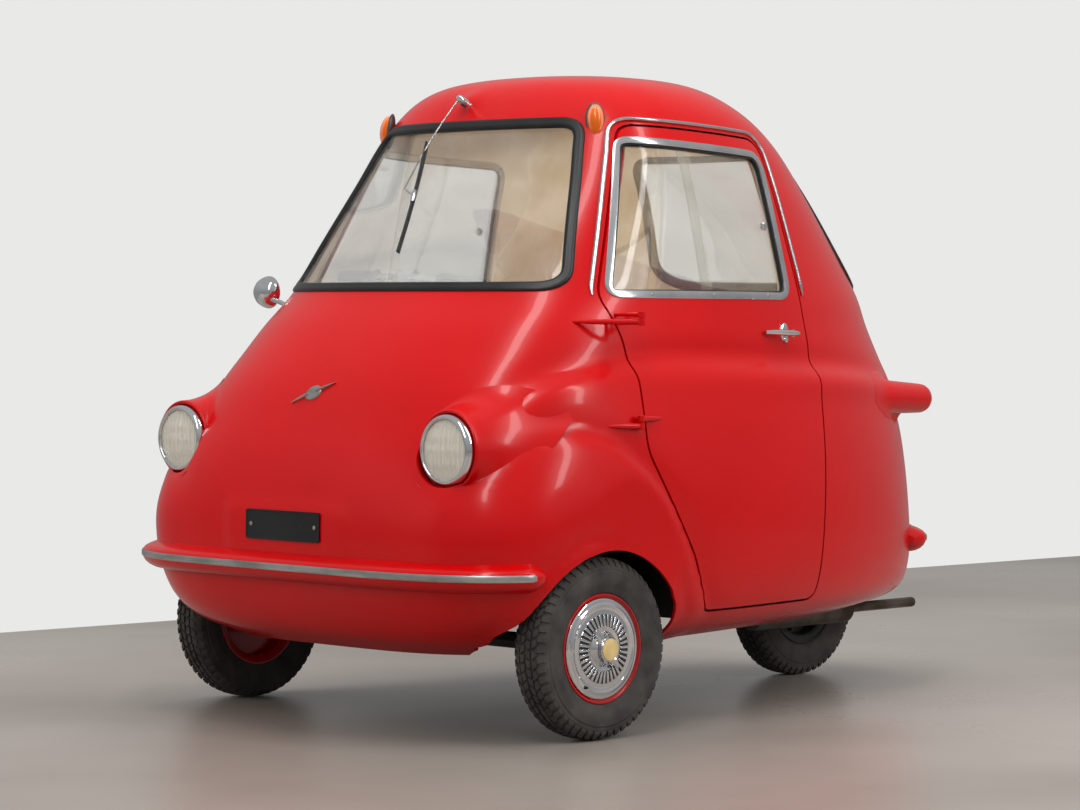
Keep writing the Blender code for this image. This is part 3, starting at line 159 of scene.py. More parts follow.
@dataclass(frozen=True)
class Finish:
    """A real material: its colour, how it answers light, and the fine pattern in it."""

    name: str
    colour: str
    roughness: float
    metallic: float = 0.0
    second: str = ""
    grain_mm: float = 4.0
    roughness_spread: float = 0.08
    bump: float = 0.0
    bump_mm: float = 1.0
    coat: float = 0.0
    transmission: float = 0.0
    ior: float = 1.5
    sheen: float = 0.0
    specular: float = 0.5
    alpha: float = 1.0
    flute_mm: float = 0.0
    stretch: tuple[float, float, float] = (1.0, 1.0, 1.0)
    detail: float = 4.0
    contrast: tuple[float, float] = (0.35, 0.65)

    def build(self) -> bpy.types.Material:
        """Make the material, or hand back the one made before.

        Returns:
            The Blender material.
        """
        made = bpy.data.materials.get(self.name)
        if made is not None:
            return made
        material = bpy.data.materials.new(self.name)
        material.use_nodes = True
        tree = material.node_tree
        shader = tree.nodes["Principled BSDF"]
        plain = {
            "Base Color": srgb(self.colour),
            "Roughness": self.roughness,
            "Metallic": self.metallic,
            "Coat Weight": self.coat,
            "Coat Roughness": 0.03,
            "Transmission Weight": self.transmission,
            "Sheen Weight": self.sheen,
            "Specular IOR Level": self.specular,
            "Alpha": self.alpha,
        }
        if self.metallic < 0.5:
            plain["IOR"] = self.ior
        for socket, value in plain.items():
            shader.inputs[socket].default_value = value
        place = add_node(tree, "ShaderNodeTexCoord").outputs["Object"]
        mapped = add_node(tree, "ShaderNodeMapping", {"Scale": self.stretch}, {"Vector": place}).outputs[0]
        self.dress(tree, shader, mapped)
        return material

    def dress(self, tree: bpy.types.NodeTree, shader: bpy.types.Node, place: bpy.types.NodeSocket) -> None:
        """Add the pattern: uneven colour, uneven gloss and a fine relief.

        Args:
            tree: the material's nodes.
            shader: its Principled node.
            place: the coordinates that the pattern reads.
        """
        cloud = add_node(
            tree,
            "ShaderNodeTexNoise",
            {"Scale": 1000.0 / self.grain_mm / 6.0, "Detail": self.detail},
            {"Vector": place},
        ).outputs["Fac"]
        if self.second:
            ramp = add_node(tree, "ShaderNodeValToRGB", {}, {"Fac": cloud})
            low, high = ramp.color_ramp.elements
            low.position, high.position = self.contrast
            low.color = srgb(self.colour)
            high.color = srgb(self.second)
            tree.links.new(ramp.outputs["Color"], shader.inputs["Base Color"])
        if self.roughness_spread:
            spread = {
                "To Min": max(self.roughness - self.roughness_spread, 0.0),
                "To Max": self.roughness + self.roughness_spread,
            }
            gloss = add_node(tree, "ShaderNodeMapRange", spread, {"Value": cloud})
            tree.links.new(gloss.outputs["Result"], shader.inputs["Roughness"])
        if self.flute_mm:
            scale = WAVE_SCALE_MM / self.flute_mm
            flutes = add_node(tree, "ShaderNodeTexWave", {"Scale": scale}, {"Vector": place})
            relief = add_node(tree, "ShaderNodeBump", {"Distance": 0.0012}, {"Height": flutes.outputs["Fac"]})
            tree.links.new(relief.outputs["Normal"], shader.inputs["Normal"])
        elif self.bump:
            fine = add_node(
                tree, "ShaderNodeTexNoise", {"Scale": 1000.0 / self.bump_mm / 4.0, "Detail": 2.0},
                {"Vector": place}
            )
            relief = add_node(
                tree, "ShaderNodeBump", {"Strength": self.bump, "Distance": 0.001},
                {"Height": fine.outputs["Fac"]}
            )
            tree.links.new(relief.outputs["Normal"], shader.inputs["Normal"])


# Cellulose paint over hand-laid glass fibre: deep gloss with a faint orange peel
BODY_RED = Finish(
    "body_red_paint", "BE0004", 0.24, second="B80003", grain_mm=60.0, coat=0.16,
    roughness_spread=0.03, bump=0.03, bump_mm=6.0, ior=1.45, specular=0.28,
)
# Hardboard lining with a beige washable face: matt with a fine emboss
TRIM_BOARD = Finish(
    "beige_trim_board", "F0E3CC", 0.62, second="DCC9A8", grain_mm=14.0, bump=0.35, bump_mm=1.6
)
# Extruded EPDM glazing rubber: black, slightly shiny along its crown
SEAL_RUBBER = Finish("window_rubber", "101011", 0.42, second="1A1A1B", grain_mm=12.0, bump=0.10, bump_mm=1.5)
# Road-worn tyre rubber: grey bloom over black
TYRE_RUBBER = Finish(
    "tyre_rubber", "2A2827", 0.80, second="4C4743", grain_mm=9.0, bump=0.35, bump_mm=1.2,
    contrast=(0.30, 0.80)
)
# Chrome over brass and steel: mirror bright with a little haze
CHROME = Finish("chrome_plate", "E6E7E9", 0.06, 1.0, second="D4D5D8", grain_mm=25.0, roughness_spread=0.035)
# Worn extruded aluminium strip: drawn lines and dull patches
DULL_ALUMINIUM = Finish(
    "worn_aluminium", "C6C8C6", 0.36, 1.0, second="A2A5A2", grain_mm=6.0, roughness_spread=0.12,
    stretch=(0.4, 0.4, 2.0), bump=0.12,
)
# Polished aluminium window frame: bright, softer than chrome
BRIGHT_ALUMINIUM = Finish(
    "bright_aluminium", "DCDDDF", 0.18, 1.0, second="C6C8CB", grain_mm=18.0, roughness_spread=0.06
)
# Toughened glass 4 mm thick: clear, faintly green on edge
CLEAR_GLASS = Finish(
    "window_glass", "F4FAF7", 0.0, transmission=1.0, ior=1.45, roughness_spread=0.0, alpha=0.35
)
# Pressed headlamp glass, a little yellowed with age
LAMP_GLASS = Finish(
    "lamp_glass", "FFFAEC", 0.14, transmission=0.50, ior=1.5, roughness_spread=0.02, flute_mm=5.5
)
# Vacuum-plated lamp bowl
REFLECTOR = Finish("lamp_reflector", "F2EFE8", 0.30, 1.0, second="E6DFCE", grain_mm=10.0)
# Moulded amber acrylic
AMBER = Finish("amber_lens", "FF7A0C", 0.10, second="F06A04", grain_mm=6.0, transmission=0.35, ior=1.49)
# Moulded red acrylic
LAMP_RED = Finish("red_lens", "B0060A", 0.10, second="90040A", grain_mm=6.0, transmission=0.30, ior=1.49)
# Grey die-cast lamp base
CAST_GREY = Finish("cast_grey", "5C5E61", 0.40, 0.6, second="47494C", grain_mm=4.0, bump=0.2)
# Brushed black chassis paint with road dust on it
CHASSIS_BLACK = Finish(
    "chassis_black", "141414", 0.50, second="2C2A27", grain_mm=18.0, bump=0.35, bump_mm=2.5,
    contrast=(0.40, 0.80)
)
# Enamelled wheel: the body's red in a harder, duller gloss
WHEEL_RED = Finish("wheel_red_enamel", "B4060B", 0.28, second="9E0509", grain_mm=30.0, bump=0.06, bump_mm=4.0)
# Cream enamel of the hub medallion, left plain
CREAM_ENAMEL = Finish("cream_enamel", "D9BE84", 0.22, second="C9AB6C", grain_mm=5.0, coat=0.4)
# Leathercloth: red-brown PVC with a pebble grain
LEATHERCLOTH = Finish(
    "seat_leathercloth", "7C1B17", 0.46, second="64130F", grain_mm=10.0, bump=0.55, bump_mm=1.8, sheen=0.05
)
# Heat-browned mild steel of the exhaust
EXHAUST_STEEL = Finish(
    "exhaust_steel", "6E6A64", 0.48, 0.85, second="4A3B30", grain_mm=14.0, bump=0.35, bump_mm=2.0,
    roughness_spread=0.15,
)
# Sand-cast aluminium crankcase, oil stained
CAST_ALUMINIUM = Finish(
    "cast_aluminium", "8E8F8E", 0.55, 0.8, second="5E5B55", grain_mm=10.0, bump=0.6, bump_mm=2.0
)
# Ribbed black floor rubber
FLOOR_RUBBER = Finish("floor_rubber", "1B1A19", 0.70, second="282623", grain_mm=9.0, bump=0.4, bump_mm=2.0)
# Satin black number plate, left blank
PLATE_BLACK = Finish("plate_black", "0C0C0D", 0.28, second="141415", grain_mm=20.0, bump=0.04)
# Moulded black grips
GRIP_PLASTIC = Finish("grip_plastic", "151515", 0.45, second="1F1F1F", grain_mm=5.0, bump=0.3)


# Mesh helpers


def fresh(bm: bmesh.types.BMesh, merge: float = 0.00002) -> bmesh.types.BMesh:
    """Close seams and poles and point every face outwards.

    Args:
        bm: the mesh in hand.
        merge: how close two vertices are to become one.

    Returns:
        The same mesh.
    """
    bmesh.ops.remove_doubles(bm, verts=bm.verts, dist=merge)
    bmesh.ops.recalc_face_normals(bm, faces=bm.faces)
    return bm


def as_mesh(bm: bmesh.types.BMesh, name: str) -> bpy.types.Mesh:
    """Bake a bmesh into mesh data.

    Args:
        bm: the mesh in hand, freed here.
        name: name of the data.

    Returns:
        The mesh data.
    """
    mesh = bpy.data.meshes.new(name)
    bm.to_mesh(mesh)
    bm.free()
    return mesh


def linked(name: str, mesh: bpy.types.Mesh) -> bpy.types.Object:
    """Put mesh data into the scene as an object at the origin."""
    item = bpy.data.objects.new(name, mesh)
    bpy.context.scene.collection.objects.link(item)
    return item


def piece(
    name: str,
    shape: bmesh.types.BMesh | bpy.types.Object,
    finishes: Finish | Sequence[Finish],
    body: str = "root",
    replaces: Iterable[str] = (),
    crease: float = 35.0,
) -> bpy.types.Object:
    """Finish a piece: move it into the model's frame, dress it and hang it on a body.

    Args:
        name: the piece's name.
        shape: a bmesh, or an object whose mesh is laid out from the front axle.
        finishes: one finish, or one for each material slot.
        body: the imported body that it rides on.
        replaces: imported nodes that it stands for.
        crease: edges sharper than this many degrees stay sharp.

    Returns:
        The piece.
    """
    item = shape if isinstance(shape, bpy.types.Object) else linked(name, as_mesh(shape, name))
    item.name = name
    item.data.name = name
    item.data.transform(Matrix.Translation((0.0, AXLE_Y, 0.0)))
    while len(item.data.materials) < (1 if isinstance(finishes, Finish) else len(finishes)):
        item.data.materials.append(None)
    for index, finish in enumerate([finishes] if isinstance(finishes, Finish) else finishes):
        item.data.materials[index] = finish.build()
    if crease:
        item.data.shade_smooth()
        item.data.set_sharp_from_angle(angle=math.radians(crease))
    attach(item, body)
    if replaces:
        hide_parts(*replaces)
    log.info("%s: %d faces on %s", name, len(item.data.polygons), body)
    return item


def joined(*parts: bmesh.types.BMesh) -> bmesh.types.BMesh:
    """Gather several meshes into one.

    Args:
        parts: meshes, freed here.

    Returns:
        One mesh with every part in it.
    """
    whole = bmesh.new()
    for part in parts:
        mesh = as_mesh(part, "part")
        whole.from_mesh(mesh)
        bpy.data.meshes.remove(mesh)
    return whole


def sheet(
    columns: int, rows: int, spot: Callable[[int, int], Sequence[float]], close: bool = True
) -> bmesh.types.BMesh:
    """A grid whose vertices are carried to places on a surface.

    Args:
        columns: number of vertices along.
        rows: number of vertices across.
        spot: the place of a vertex by its column and row.
        close: merge the seams and poles.

    Returns:
        The mesh, with its faces pointing out if it is closed.
    """
    bm = bmesh.new()
    made = bmesh.ops.create_grid(bm, x_segments=columns - 1, y_segments=rows - 1, size=1.0)
    for index, vert in enumerate(made["verts"]):
        vert.co = Vector(spot(index % columns, index // columns))
    if close:
        fresh(bm)
    return bm


def spun(
    profile: Sequence[Point2],
    centre: Sequence[float],
    axis: Axis = Axis.X,
    segments: int = 64,
    closed: bool = False,
    facing: int = 1,
) -> bmesh.types.BMesh:
    """Spin a profile about an axis.

    Args:
        profile: points as radius and distance along the axis.
        centre: a point on the axis, from which the distance is measured.
        axis: the axis spun about.
        segments: steps of the full turn.
        closed: join the last point to the first.
        facing: 1, or -1 to measure the distance the other way.

    Returns:
        The spun mesh with its faces pointing out.
    """
    bm = bmesh.new()
    along = Vector((0.0, 0.0, 0.0))
    along[axis.value] = facing
    out = Vector((0.0, 0.0, 1.0)) if axis is not Axis.Z else Vector((1.0, 0.0, 0.0))
    middle = Vector(centre)
    points = [bm.verts.new(middle + along * reach + out * radius) for radius, reach in profile]
    edges = [bm.edges.new(pair) for pair in zip(points, points[1:])]
    if closed:
        edges.append(bm.edges.new((points[-1], points[0])))
    bmesh.ops.spin(
        bm, geom=points + edges, cent=middle, axis=along, angle=math.tau, steps=segments, use_merge=True
    )
    return fresh(bm)


def box(
    low: Sequence[float], high: Sequence[float], bevel: float = 0.0, segments: int = 2
) -> bmesh.types.BMesh:
    """A box between two corners, with its edges rounded.

    Args:
        low: lowest corner.
        high: highest corner.
        bevel: width of the rounding.
        segments: steps of the rounding.

    Returns:
        The mesh.
    """
    bm = bmesh.new()
    bmesh.ops.create_cube(bm, size=1.0)
    bmesh.ops.scale(bm, vec=Vector(high) - Vector(low), verts=bm.verts)
    bmesh.ops.translate(bm, vec=(Vector(high) + Vector(low)) / 2, verts=bm.verts)
    if bevel:
        rounded_off(bm, bevel, segments)
    return bm


def rounded_off(
    bm: bmesh.types.BMesh, width: float, segments: int = 2, sharp: float = 30.0
) -> bmesh.types.BMesh:
    """Bevel every edge that is sharper than an angle.

    Args:
        bm: the mesh in hand.
        width: width of the bevel.
        segments: its steps.
        sharp: the least angle between two faces, in degrees.

    Returns:
        The same mesh.
    """
    limit = math.radians(sharp)
    edges = [e for e in bm.edges if len(e.link_faces) == 2 and e.calc_face_angle(0.0) > limit]
    bmesh.ops.bevel(
        bm, geom=edges, offset=width, segments=segments, profile=0.5, affect="EDGES", material=-1,
        clamp_overlap=True,
    )
    return bm


def slab(
    outline: Sequence[Point2], axis: Axis, low: float, high: float, bevel: float = 0.0
) -> bmesh.types.BMesh:
    """Extrude a flat outline along an axis.

    Args:
        outline: points in the plane across the axis.
        axis: the way it is extruded.
        low: level of the first face.
        high: level of the second face.
        bevel: width of the rounding of its edges.

    Returns:
        A closed mesh.
    """
    bm = bmesh.new()

    def spot(a: float, b: float, level: float) -> Vector:
        """The 3-D place of an outline point at a level."""
        return Vector({Axis.X: (level, a, b), Axis.Y: (a, level, b), Axis.Z: (a, b, level)}[axis])

    face = bm.faces.new([bm.verts.new(spot(a, b, low)) for a, b in outline])
    grown = bmesh.ops.extrude_face_region(bm, geom=[face])
    tips = [item for item in grown["geom"] if isinstance(item, bmesh.types.BMVert)]
    bmesh.ops.translate(bm, vec=spot(0.0, 0.0, high) - spot(0.0, 0.0, low), verts=tips)
    bmesh.ops.recalc_face_normals(bm, faces=bm.faces)
    return rounded_off(bm, bevel) if bevel else bm


def bar(
    points: Sequence[Sequence[float]], radii: Sequence[float], sides: int = 16, flat: float = 1.0
) -> bmesh.types.BMesh:
    """A round or flattened bar through a few points, closed at both ends.

    Args:
        points: its centre line.
        radii: its radius at each point.
        sides: vertices round it.
        flat: height of its section as a share of its width.

    Returns:
        A closed mesh.
    """
    line = [Vector(p) for p in points]
    frames = []
    guide = Vector((0.0, 0.0, 1.0))
    for i, here in enumerate(line):
        along = (line[min(i + 1, len(line) - 1)] - line[max(i - 1, 0)]).normalized()
        across = along.cross(guide)
        if across.length < 0.05:
            across = along.cross(Vector((0.0, 1.0, 0.0)))
        across.normalize()
        frames.append((here, across, across.cross(along).normalized()))

    def spot(i: int, j: int) -> Vector:
        """A vertex of the bar; the first and last columns close its ends."""
        k = min(max(i - 1, 0), len(line) - 1)
        here, across, up = frames[k]
        radius = 0.0 if i in (0, len(line) + 1) else radii[k]
        angle = math.tau * j / sides
        return here + across * (math.cos(angle) * radius) + up * (math.sin(angle) * radius * flat)

    return sheet(len(line) + 2, sides + 1, spot)


def smooth_line(points: Sequence[Sequence[float]], steps: int = 8) -> list[Vector]:
    """Points of a smooth curve through a few given ones.

    Args:
        points: the points to pass through.
        steps: steps between two of them.

    Returns:
        The curve's points.
    """
    line = [Vector(p) for p in points]
    curve = []
    for i in range(len(line) - 1):
        before = line[max(i - 1, 0)]
        start, end = line[i], line[i + 1]
        after = line[min(i + 2, len(line) - 1)]
        for step in range(steps):
            t = step / steps
            curve.append(
                0.5 * (
                    2 * start
                    + (end - before) * t
                    + (2 * before - 5 * start + 4 * end - after) * t * t
                    + (3 * start - before - 3 * end + after) * t**3
                )
            )
    curve.append(line[-1])
    return curve


def combine(base: bpy.types.Object, tool: bpy.types.Object, operation: str) -> bpy.types.Object:
    """Cut, join or intersect two objects and keep the result in the first.

    Args:
        base: the object that stays.
        tool: the object that is used up.
        operation: the Boolean's operation.

    Returns:
        The first object.
    """
    modifier = base.modifiers.new("combine", "BOOLEAN")
    modifier.operation = operation
    modifier.solver = "EXACT"
    modifier.object = tool
    graph = bpy.context.evaluated_depsgraph_get()
    mesh = bpy.data.meshes.new_from_object(base.evaluated_get(graph))
    base.modifiers.clear()
    base.data = mesh
    bpy.data.objects.remove(tool, do_unlink=True)
    return base


def carve(base: bpy.types.Object, tool: bmesh.types.BMesh, operation: str = "DIFFERENCE") -> None:
    """Cut an object with a mesh, or keep what the two share.

    Args:
        base: the object that stays.
        tool: the cutter's mesh.
        operation: the Boolean's operation.
    """
    combine(base, linked("cut", as_mesh(tool, "cut")), operation)


def repeated_round(bm: bmesh.types.BMesh, count: int) -> None:
    """Repeat a mesh evenly round the X axis.

    Args:
        bm: the mesh, as its first copy.
        count: how many there are in all.
    """
    bmesh.ops.spin(
        bm, geom=[*bm.verts, *bm.edges, *bm.faces], cent=(0.0, 0.0, 0.0), axis=(1.0, 0.0, 0.0),
        angle=math.tau * (count - 1) / count, steps=count - 1, use_duplicate=True,
    )


def baked(item: bpy.types.Object) -> bpy.types.Object:
    """Turn an object's live modifiers into mesh.

    Args:
        item: the object with modifiers.

    Returns:
        The same object.
    """
    graph = bpy.context.evaluated_depsgraph_get()
    mesh = bpy.data.meshes.new_from_object(item.evaluated_get(graph))
    item.modifiers.clear()
    item.data = mesh
    return item


# Outlines


def grown(corners: Sequence[Corner], distance: float) -> list[Corner]:
    """Move every side of a cornered outline outwards.

    Args:
        corners: points with their corner radius.
        distance: how far, or less than zero for inwards.

    Returns:
        The moved corners.
    """
    points = [Vector((a, b)) for a, b, _ in corners]
    count = len(points)
    area = sum(points[i - 1].cross(points[i]) for i in range(count))
    side = 1.0 if area > 0 else -1.0
    result = []
    for i in range(count):
        before = (points[i] - points[i - 1]).normalized()
        after = (points[(i + 1) % count] - points[i]).normalized()
        middle = Vector((before.y + after.y, -before.x - after.x)) * side
        spot = points[i] + middle * (2.0 * distance / middle.length_squared)
        result.append((spot.x, spot.y, max(corners[i][2] + distance, 0.004)))
    return result


def rounded(corners: Sequence[Corner], steps: int = 10) -> list[Point2]:
    """Points of a cornered outline with each corner replaced by a curve.

    Args:
        corners: points with their corner radius.
        steps: steps of each curve.

    Returns:
        The outline's points.
    """
    points = [Vector((a, b)) for a, b, _ in corners]
    count = len(points)
    outline = []
    for i in range(count):
        before = points[i - 1] - points[i]
        after = points[(i + 1) % count] - points[i]
        reach = corners[i][2] / math.tan(before.angle(after) / 2)
        reach = min(reach, 0.48 * before.length, 0.48 * after.length)
        start = points[i] + before.normalized() * reach
        end = points[i] + after.normalized() * reach
        for step in range(steps + 1):
            t = step / steps
            curve = start * (1 - t) ** 2 + points[i] * 2 * t * (1 - t) + end * t**2
            outline.append((curve.x, curve.y))
    return outline


def evened(outline: Sequence[Point2], count: int) -> list[Point2]:
    """The same closed outline with its points at even distances.

    Args:
        outline: points of a closed outline.
        count: how many points to return.

    Returns:
        The evenly spaced points.
    """
    loop = np.array([*outline, outline[0]])
    steps = np.hypot(*np.diff(loop, axis=0).T)
    along = np.concatenate([[0.0], np.cumsum(steps)])
    wanted = np.linspace(0.0, along[-1], count, endpoint=False)
    return list(zip(np.interp(wanted, along, loop[:, 0]), np.interp(wanted, along, loop[:, 1])))


def eased(value: np.ndarray | float, low: float, high: float) -> np.ndarray:
    """A smooth step from 0 at one value to 1 at another."""
    t = np.clip((np.asarray(value) - low) / (high - low), 0.0, 1.0)
    return t * t * (3.0 - 2.0 * t)


# The body's surface


def bell(value: np.ndarray, middle: float, spread: float) -> np.ndarray:
    """A smooth bump of height 1 round a middle value."""
    return np.exp(-((value - middle) / spread) ** 2)


@dataclass(frozen=True)
class Ridge:
    """A curve on the car's side, along which the moulding rises and falls."""

    line: tuple[Point2, ...]

    def height_over(self, y: np.ndarray, z: np.ndarray) -> np.ndarray:
        """How far points stand above the curve, across it, in metres.

        Args:
            y: places along the car.
            z: heights.

        Returns:
            Distance from the curve, less than zero under it.
        """
        curve = np.array([tuple(p) for p in smooth_line([(a, b, 0.0) for a, b in self.line], 6)])[:, :2]
        points = np.stack([np.ravel(y), np.ravel(z)], axis=1)
        best = np.full(len(points), 1e9)
        sign = np.ones(len(points))
        for start, end in zip(curve, curve[1:]):
            along = end - start
            length = float(along @ along)
            share = np.clip(((points - start) @ along) / length, 0.0, 1.0)
            off = points - (start + share[:, None] * along)
            distance = np.hypot(off[:, 0], off[:, 1])
            nearer = distance < best
            best = np.where(nearer, distance, best)
            sign = np.where(nearer, np.sign(along[0] * off[:, 1] - along[1] * off[:, 0]), sign)
        return (best * sign).reshape(np.shape(y))


@dataclass
class BodyForm:
    """The moulded body's outer surface, as plan outlines from the sill to the crown."""

    rear_axle_y: float = 1.370
    half_width: float = 0.655
    # Columns: z, y_front, reach past the rear axle, inset from the half width, y_wide, n_front, n_rear
    rows: tuple[tuple[float, ...], ...] = (
        (0.190, -0.250, 0.160, 0.155, 0.22, 3.60, 2.15),
        (0.225, -0.315, 0.212, 0.075, 0.21, 4.20, 2.15),
        (0.270, -0.352, 0.233, 0.030, 0.20, 4.50, 2.15),
        (0.330, -0.376, 0.242, 0.010, 0.20, 4.60, 2.15),
        (0.400, -0.388, 0.238, 0.002, 0.20, 4.60, 2.15),
        (0.480, -0.390, 0.228, 0.000, 0.20, 4.50, 2.15),
        (0.560, -0.381, 0.215, 0.003, 0.21, 4.00, 2.15),
        (0.640, -0.360, 0.198, 0.012, 0.23, 3.50, 2.15),
        (0.720, -0.325, 0.173, 0.025, 0.25, 3.20, 2.15),
        (0.780, -0.295, 0.153, 0.039, 0.27, 3.00, 2.15),
        (0.840, -0.255, 0.122, 0.067, 0.30, 2.90, 2.15),
        (0.920, -0.190, 0.072, 0.083, 0.32, 2.70, 2.15),
        (1.000, -0.115, 0.030, 0.099, 0.35, 2.50, 2.15),
        (1.120, -0.020, -0.070, 0.125, 0.38, 2.45, 2.15),
        (1.250, 0.080, -0.185, 0.157, 0.42, 2.50, 2.15),
        (1.350, 0.140, -0.290, 0.190, 0.45, 2.50, 2.20),
        (1.420, 0.185, -0.385, 0.227, 0.47, 2.50, 2.20),
        (1.470, 0.225, -0.480, 0.280, 0.48, 2.45, 2.20),
        (1.500, 0.270, -0.560, 0.345, 0.49, 2.40, 2.20),
        (1.516, 0.330, -0.650, 0.430, 0.50, 2.30, 2.20),
        (1.523, 0.410, -0.760, 0.545, 0.50, 2.20, 2.10),
        (1.524, 0.499, -0.869, 0.654, 0.50, 2.20, 2.10),
    )
    sill_rise: tuple[float, ...] = (0.020, 0.010, 0.0)
    wing_crease: Ridge = Ridge((
        (-0.40, 0.52), (-0.278, 0.608), (-0.196, 0.655), (-0.107, 0.678), (-0.009, 0.668),
        (0.072, 0.628), (0.160, 0.554), (0.225, 0.461), (0.291, 0.344), (0.360, 0.245), (0.42, 0.12),
    ))
    shoulder: Ridge = Ridge((
        (-0.38, 0.55), (-0.300, 0.640), (-0.261, 0.672), (-0.209, 0.716), (-0.140, 0.759), (-0.068, 0.789),
        (0.039, 0.813), (0.159, 0.825), (0.358, 0.828), (0.738, 0.812), (1.044, 0.793), (1.30, 0.775),
        (1.60, 0.760),
    ))
    arch_y: float = 0.010
    arch_z: float = 0.190
    arch_radius: float = 0.235
    # How far each moulded feature stands proud of the plain surface, or sinks below it
    wing_valley: float = 0.010
    wing_rise: float = 0.006
    shoulder_rise: float = 0.007
    arch_lip: float = 0.0045
    plate_panel_rise: float = 0.0045
    wiper_boss_rise: float = 0.011
    _dense: np.ndarray = field(init=False, repr=False)
    _dense_t: np.ndarray = field(init=False, repr=False)

    def __post_init__(self) -> None:
        """Tabulate the rows finely, so that a height can be looked up."""
        self._dense_t = np.linspace(0.0, len(self.rows) - 1.0, 841)
        self._dense = self.row_values(self._dense_t)

    def row_values(self, t: np.ndarray) -> np.ndarray:
        """Row values between the rows of the table, on a smooth curve through them.

        Args:
            t: places in the table, counted in rows.

        Returns:
            Columns z, y_front, y_rear, half width, y_wide, n_front and n_rear.
        """
        table = np.array(self.rows)
        table[:, 2] += self.rear_axle_y
        table[:, 3] = self.half_width - table[:, 3]
        last = len(table) - 1
        padded = np.vstack([2 * table[0] - table[1], table, 2 * table[-1] - table[-2]])
        i = np.clip(np.floor(t).astype(int), 0, last - 1)
        f = (np.asarray(t) - i)[:, None]
        a, b, c, d = (padded[i + k] for k in range(4))
        return 0.5 * (
            2 * b + (c - a) * f + (2 * a - 5 * b + 4 * c - d) * f**2 + (3 * b - a - 3 * c + d) * f**3
        )

    def at_height(self, z: np.ndarray) -> list[np.ndarray]:
        """Row values at given heights."""
        t = np.interp(z, self._dense[:, 0], self._dense_t)
        return list(self.row_values(np.atleast_1d(t)).T)

    def sides_x(self, y: np.ndarray, z: np.ndarray) -> np.ndarray:
        """Half widths of the plain body at places on its side."""
        _, front, rear, half, wide, n_front, n_rear = self.at_height(z)
        reach = np.where(y < wide, wide - front, rear - wide)
        power = np.where(y < wide, n_front, n_rear)
        return half * np.maximum(1.0 - np.abs((y - wide) / reach) ** power, 1e-9) ** (1.0 / power)

    def ends_y(self, x: np.ndarray, z: np.ndarray, rear: bool) -> np.ndarray:
        """Y of the plain body's nose, or of its tail, at places across it."""
        _, front, back, half, wide, n_front, n_rear = self.at_height(z)
        power = n_rear if rear else n_front
        share = np.maximum(1.0 - np.abs(x / half) ** power, 1e-9) ** (1.0 / power)
        return wide + (back - wide) * share if rear else wide - (wide - front) * share

    def side_x(self, y: float, z: float) -> float:
        """Half width of the plain body at one place on its side."""
        return float(self.sides_x(np.array([y]), np.array([z]))[0])

    def end_y(self, x: float, z: float, rear: bool = False) -> float:
        """Y of the plain body's nose, or of its tail, at one place across it."""
        return float(self.ends_y(np.array([x]), np.array([z]), rear)[0])

    def relief(self, x: np.ndarray, y: np.ndarray, z: np.ndarray) -> np.ndarray:
        """How far the moulding stands proud of the plain surface.

        Args:
            x: places across the car.
            y: places along it.
            z: heights.

        Returns:
            Rise along the surface's normal.
        """
        s = np.abs(x)
        rise = eased(s, 0.36, 0.50) * (1.0 - eased(y, 0.26, 0.42)) * self.wing(y, z)
        over_shoulder = self.shoulder.height_over(y, z)
        crest = bell(over_shoulder, -0.016, 0.030)
        hollow = bell(over_shoulder, 0.030, 0.026)
        bead = self.shoulder_rise * crest - self.shoulder_rise * hollow
        rise += eased(s, 0.36, 0.50) * bead * eased(y, -0.36, -0.20)
        from_arch = np.hypot(y - self.arch_y, z - self.arch_z) - self.arch_radius
        lip = bell(from_arch, 0.004, 0.012) - 0.8 * bell(from_arch, 0.036, 0.018)
        rise += self.arch_lip * lip * eased(s, 0.45, 0.56) * (1.0 - eased(y, 0.40, 0.50))
        panel = eased(0.208 - s, 0.0, 0.010) * eased(0.520 - z, 0.0, 0.010) * eased(z, 0.385, 0.40)
        rise += self.plate_panel_rise * panel * (1.0 - eased(y, -0.1, 0.0))
        boss = bell(x, -0.022, 0.040) * bell(z, 1.452, 0.026) * (1.0 - eased(y, 0.30, 0.38))
        return rise + self.wiper_boss_rise * boss

    def wing(self, y: np.ndarray, z: np.ndarray) -> np.ndarray:
        """The wing's rise below its crease and the valley above it.

        Args:
            y: places along the car.
            z: heights.

        Returns:
            Rise along the surface's normal.
        """
        over = self.wing_crease.height_over(y, z)
        valley = np.where(over > 0, -bell(over, 0.012, 0.040) * eased(over, 0.0, 0.012), 0.0)
        swell = eased(-over, -0.004, 0.030) * (1.0 - eased(-over, 0.09, 0.26))
        return self.wing_valley * valley + self.wing_rise * swell

    def quadrant(self, row: np.ndarray, front: bool, count: int) -> np.ndarray:
        """Evenly spaced points of a quarter of one plan outline, from the side to the middle.

        Args:
            row: one row's values.
            front: the quarter towards the nose, or the one towards the tail.
            count: how many steps.

        Returns:
            Points as x and y, both ends included.
        """
        _, y_front, y_rear, half, wide, n_front, n_rear = row
        power = n_front if front else n_rear
        reach = wide - y_front if front else y_rear - wide
        v = np.linspace(0.0, 1.0, 600)
        angle = np.arctan2(v ** (power / 2), (1.0 - v) ** (power / 2))
        x = half * np.cos(angle) ** (2.0 / power)
        y = wide + (-1 if front else 1) * reach * np.sin(angle) ** (2.0 / power)
        x[-1] = 0.0
        along = np.concatenate([[0.0], np.cumsum(np.hypot(np.diff(x), np.diff(y)))])
        wanted = np.linspace(0.0, along[-1], count + 1)
        return np.stack([np.interp(wanted, along, x), np.interp(wanted, along, y)], axis=1)

